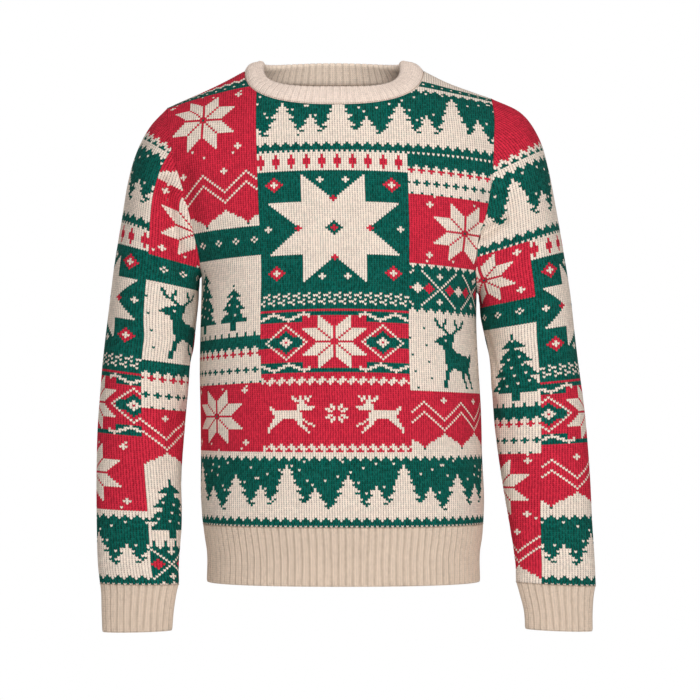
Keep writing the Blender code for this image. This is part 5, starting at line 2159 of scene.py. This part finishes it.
class Sweater:
    """The nine cloth pieces and the stitches that link them."""

    CUTS = {
        "front_knit": Cut("front", "jacquard_knit", (0.520, 0.640), 0.27),
        "back_knit": Cut("back", "jacquard_knit", (0.520, 0.665), 0.28),
        "sleeve_right_knit": Cut("sleeve_right", "jacquard_knit", (0.450, 0.640), 0.20),
        "sleeve_left_knit": Cut("sleeve_left", "jacquard_knit", (0.450, 0.650), 0.20),
        "hem_front_knit": Cut("hem_rib_front", "rib_knit", (0.460, 0.075), 0.034),
        "hem_back_knit": Cut("hem_rib_back", "rib_knit", (0.460, 0.075), 0.034),
        "cuff_right_knit": Cut("cuff_right", "rib_knit", (0.220, 0.062), 0.013),
        "cuff_left_knit": Cut("cuff_left", "rib_knit", (0.220, 0.062), 0.013),
        "collar_knit": Cut("collar", "rib_knit", (0.635, 0.031), 0.0195, "folded"),
    }
    FACES = {"front": Face.FRONT, "back": Face.BACK}
    SIDES = {"right": Side.RIGHT, "left": Side.LEFT}

    # Where the linking stitches lie: up the band's outside, down its inside, and on the seams
    # of the hem and cuffs.
    NECK_UP = 1.3 * MM
    NECK_OUT = 0.5 * MM
    INSIDE_DOWN = 3.4 * MM
    INSIDE_IN = 5.4 * MM
    SEAM_OUT = 0.1 * MM
    SEAM_DOWN = 0.7 * MM

    def __init__(self) -> None:
        self.collar = Collar()
        self.pieces: dict[str, bpy.types.Object] = {}

    def build(self) -> None:
        """Knits every piece."""
        jacquard = KnitFinish("acrylic_wool_jacquard", patterned=True, tone=0.85).build()
        rib = KnitFinish("acrylic_wool_rib", "#E0CAB6", groove=0.24).build()
        # The neck band's ground is the rib yarn made paler: painted light for the brighter light near the
        # neck.
        collar = KnitFinish("acrylic_wool_neck_rib_painted_paler", "#F1DDCF", groove=0.10).build()
        patchworks = {Face.FRONT: FRONT_BLOCKS, Face.BACK: BACK_BLOCKS}
        for place, face in self.FACES.items():
            name = f"{place}_knit"
            self.pieces[name] = Body(face).build(name, patchworks[face], jacquard)
        for place, side in self.SIDES.items():
            name = f"sleeve_{place}_knit"
            self.pieces[name] = Sleeve(side).build(name, SLEEVE_BLOCKS[side], jacquard)
        for place, face in self.FACES.items():
            name = f"hem_{place}_knit"
            self.pieces[name] = Hem(face).build(name, rib)
        for place, side in self.SIDES.items():
            name = f"cuff_{place}_knit"
            self.pieces[name] = Cuff(side).build(name, rib)
        self.pieces["collar_knit"] = self.collar.build("collar_knit", collar)

    def link(self) -> None:
        """Lays the stitches that join the ribbed bands to the jacquard pieces."""
        thread = ThreadFinish().build()
        seam = self.collar.seam
        stand, out = self.collar.frame_lines()
        up = unit(stand)
        lines = {
            "neck_linking": seam + self.NECK_UP * up + self.NECK_OUT * out,
            "neck_inside_linking": seam - self.INSIDE_DOWN * up - self.INSIDE_IN * out,
        }
        down = np.array([0.0, 0.0, -self.SEAM_DOWN])
        for place, face in self.FACES.items():
            lines[f"hem_{place}_linking"] = Hem(face).grid()[-1] + [0.0, face * self.SEAM_OUT, 0.0] + down
        for place, side in self.SIDES.items():
            ring = Cuff(side).grid()[-1]
            lines[f"cuff_{place}_linking"] = ring + self.SEAM_OUT * unit(ring - ring.mean(axis=0)) + down
        for name, line in lines.items():
            piece = LinkingStitch().build(name, line, thread)
            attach(piece, "root")

    def declare(self) -> None:
        """Hangs each cloth piece from the root and hides the part's solid that it stands for."""
        for name, cut in self.CUTS.items():
            piece = self.pieces[name]
            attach(piece, "root")
            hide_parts(cut.node)


@dataclass(frozen=True)
class Lamp:
    """A soft square light: its place, its size in metres and its power in watts."""

    name: str
    place: tuple[float, float, float]
    size: float
    power: float

    def hang(self, target: tuple[float, float, float]) -> None:
        """Hangs the light so that it faces a target."""
        data = bpy.data.lights.new(self.name, "AREA")
        data.size = self.size
        data.energy = self.power
        lamp = place_object(self.name, data)
        lamp.location = self.place
        x, y, z = np.array(target) - np.array(self.place)
        tilt = math.pi / 2 - math.atan2(-z, math.hypot(x, y))
        lamp.rotation_euler = (tilt, 0.0, math.atan2(y, x) - math.pi / 2)


@dataclass(frozen=True)
class Studio:
    """A plain pale floor in white air under soft light, and the camera at the photograph's place."""

    floor: float = -1.25
    reach: float = 3.4
    floor_code: str = "#FAFAFA"
    air_code: str = "#FFFFFF"
    floor_glow: float = 0.55
    ambient: float = 0.27
    camera_at: tuple[float, float, float] = (0.013, -4.5, -0.3614)
    lens: float = 178.0
    garment: tuple[float, float, float] = (0.0, 0.0, -0.36)
    lamps: tuple[Lamp, ...] = (
        Lamp("key", (1.2, -3.1, 1.1), 1.1, 50),
        Lamp("front", (0.1, -3.7, 0.3), 1.2, 27),
        Lamp("fill", (-1.1, -3.3, 0.7), 1.4, 14),
        Lamp("top", (0.0, -0.4, 2.2), 1.6, 10),
        Lamp("back_right", (-1.6, 3.2, 0.5), 1.8, 38),
        Lamp("back_left", (1.3, 3.4, 0.1), 1.8, 24),
    )

    def build(self) -> None:
        """Builds the floor, the lights, the air and the camera."""
        self.lay_floor()
        for lamp in self.lamps:
            lamp.hang(self.garment)
        self.fill_air()
        camera_data = bpy.data.cameras.new("camera")
        camera_data.lens = self.lens
        camera_data.sensor_width = 36.0
        camera = place_object("camera", camera_data)
        camera.location = self.camera_at
        camera.rotation_euler = (math.pi / 2, 0.0, 0.0)
        bpy.context.scene.camera = camera
        bpy.context.scene.view_settings.view_transform = "Standard"

    def fill_air(self) -> None:
        """Makes the surroundings look white and light the garment softly from all round."""
        world = bpy.data.worlds.new("studio_air")
        world.use_nodes = True
        tree = world.node_tree
        background = tree.nodes["Background"]
        background.inputs["Color"].default_value = colour(self.air_code)
        seen = add(tree, "ShaderNodeLightPath", take="Is Camera Ray")
        strength = add(tree, MATH, seen, 1.0 - self.ambient, self.ambient, operation="MULTIPLY_ADD")
        tree.links.new(strength, background.inputs["Strength"])
        bpy.context.scene.world = world

    def lay_floor(self) -> None:
        """Makes the round floor of matt paper, nearly as white as the air and unseen from below."""
        turns = np.linspace(0.0, 2 * math.pi, 96, endpoint=False)
        rim = [(self.reach * math.cos(t), self.reach * math.sin(t), self.floor) for t in turns]
        mesh = bpy.data.meshes.new("floor")
        mesh.from_pydata(rim, [], [tuple(range(len(rim)))])
        material = bpy.data.materials.new("matt_white_paper")
        material.use_nodes = True
        tree = material.node_tree
        shader = tree.nodes["Principled BSDF"]
        shader.inputs["Base Color"].default_value = colour(self.floor_code)
        shader.inputs["Roughness"].default_value = 0.9
        shader.inputs["Emission Color"].default_value = colour(self.air_code)
        facing = add(tree, "ShaderNodeNewGeometry", take="Backfacing")
        seen = add(tree, "ShaderNodeLightPath", take="Is Camera Ray")
        above = add(tree, MATH, 1.0, facing, operation="SUBTRACT")
        glow = add(tree, MATH, seen, self.floor_glow, operation="MULTIPLY")
        tree.links.new(above, shader.inputs["Alpha"])
        tree.links.new(glow, shader.inputs["Emission Strength"])
        mesh.materials.append(material)
        place_object("floor", mesh)


def main() -> None:
    """Dresses the sweater and sets up its studio."""
    logging.basicConfig(level=logging.INFO, format="%(name)s: %(message)s")
    sweater = Sweater()
    sweater.build()
    sweater.declare()
    sweater.link()
    Studio().build()


if __name__ == "__main__":
    main()
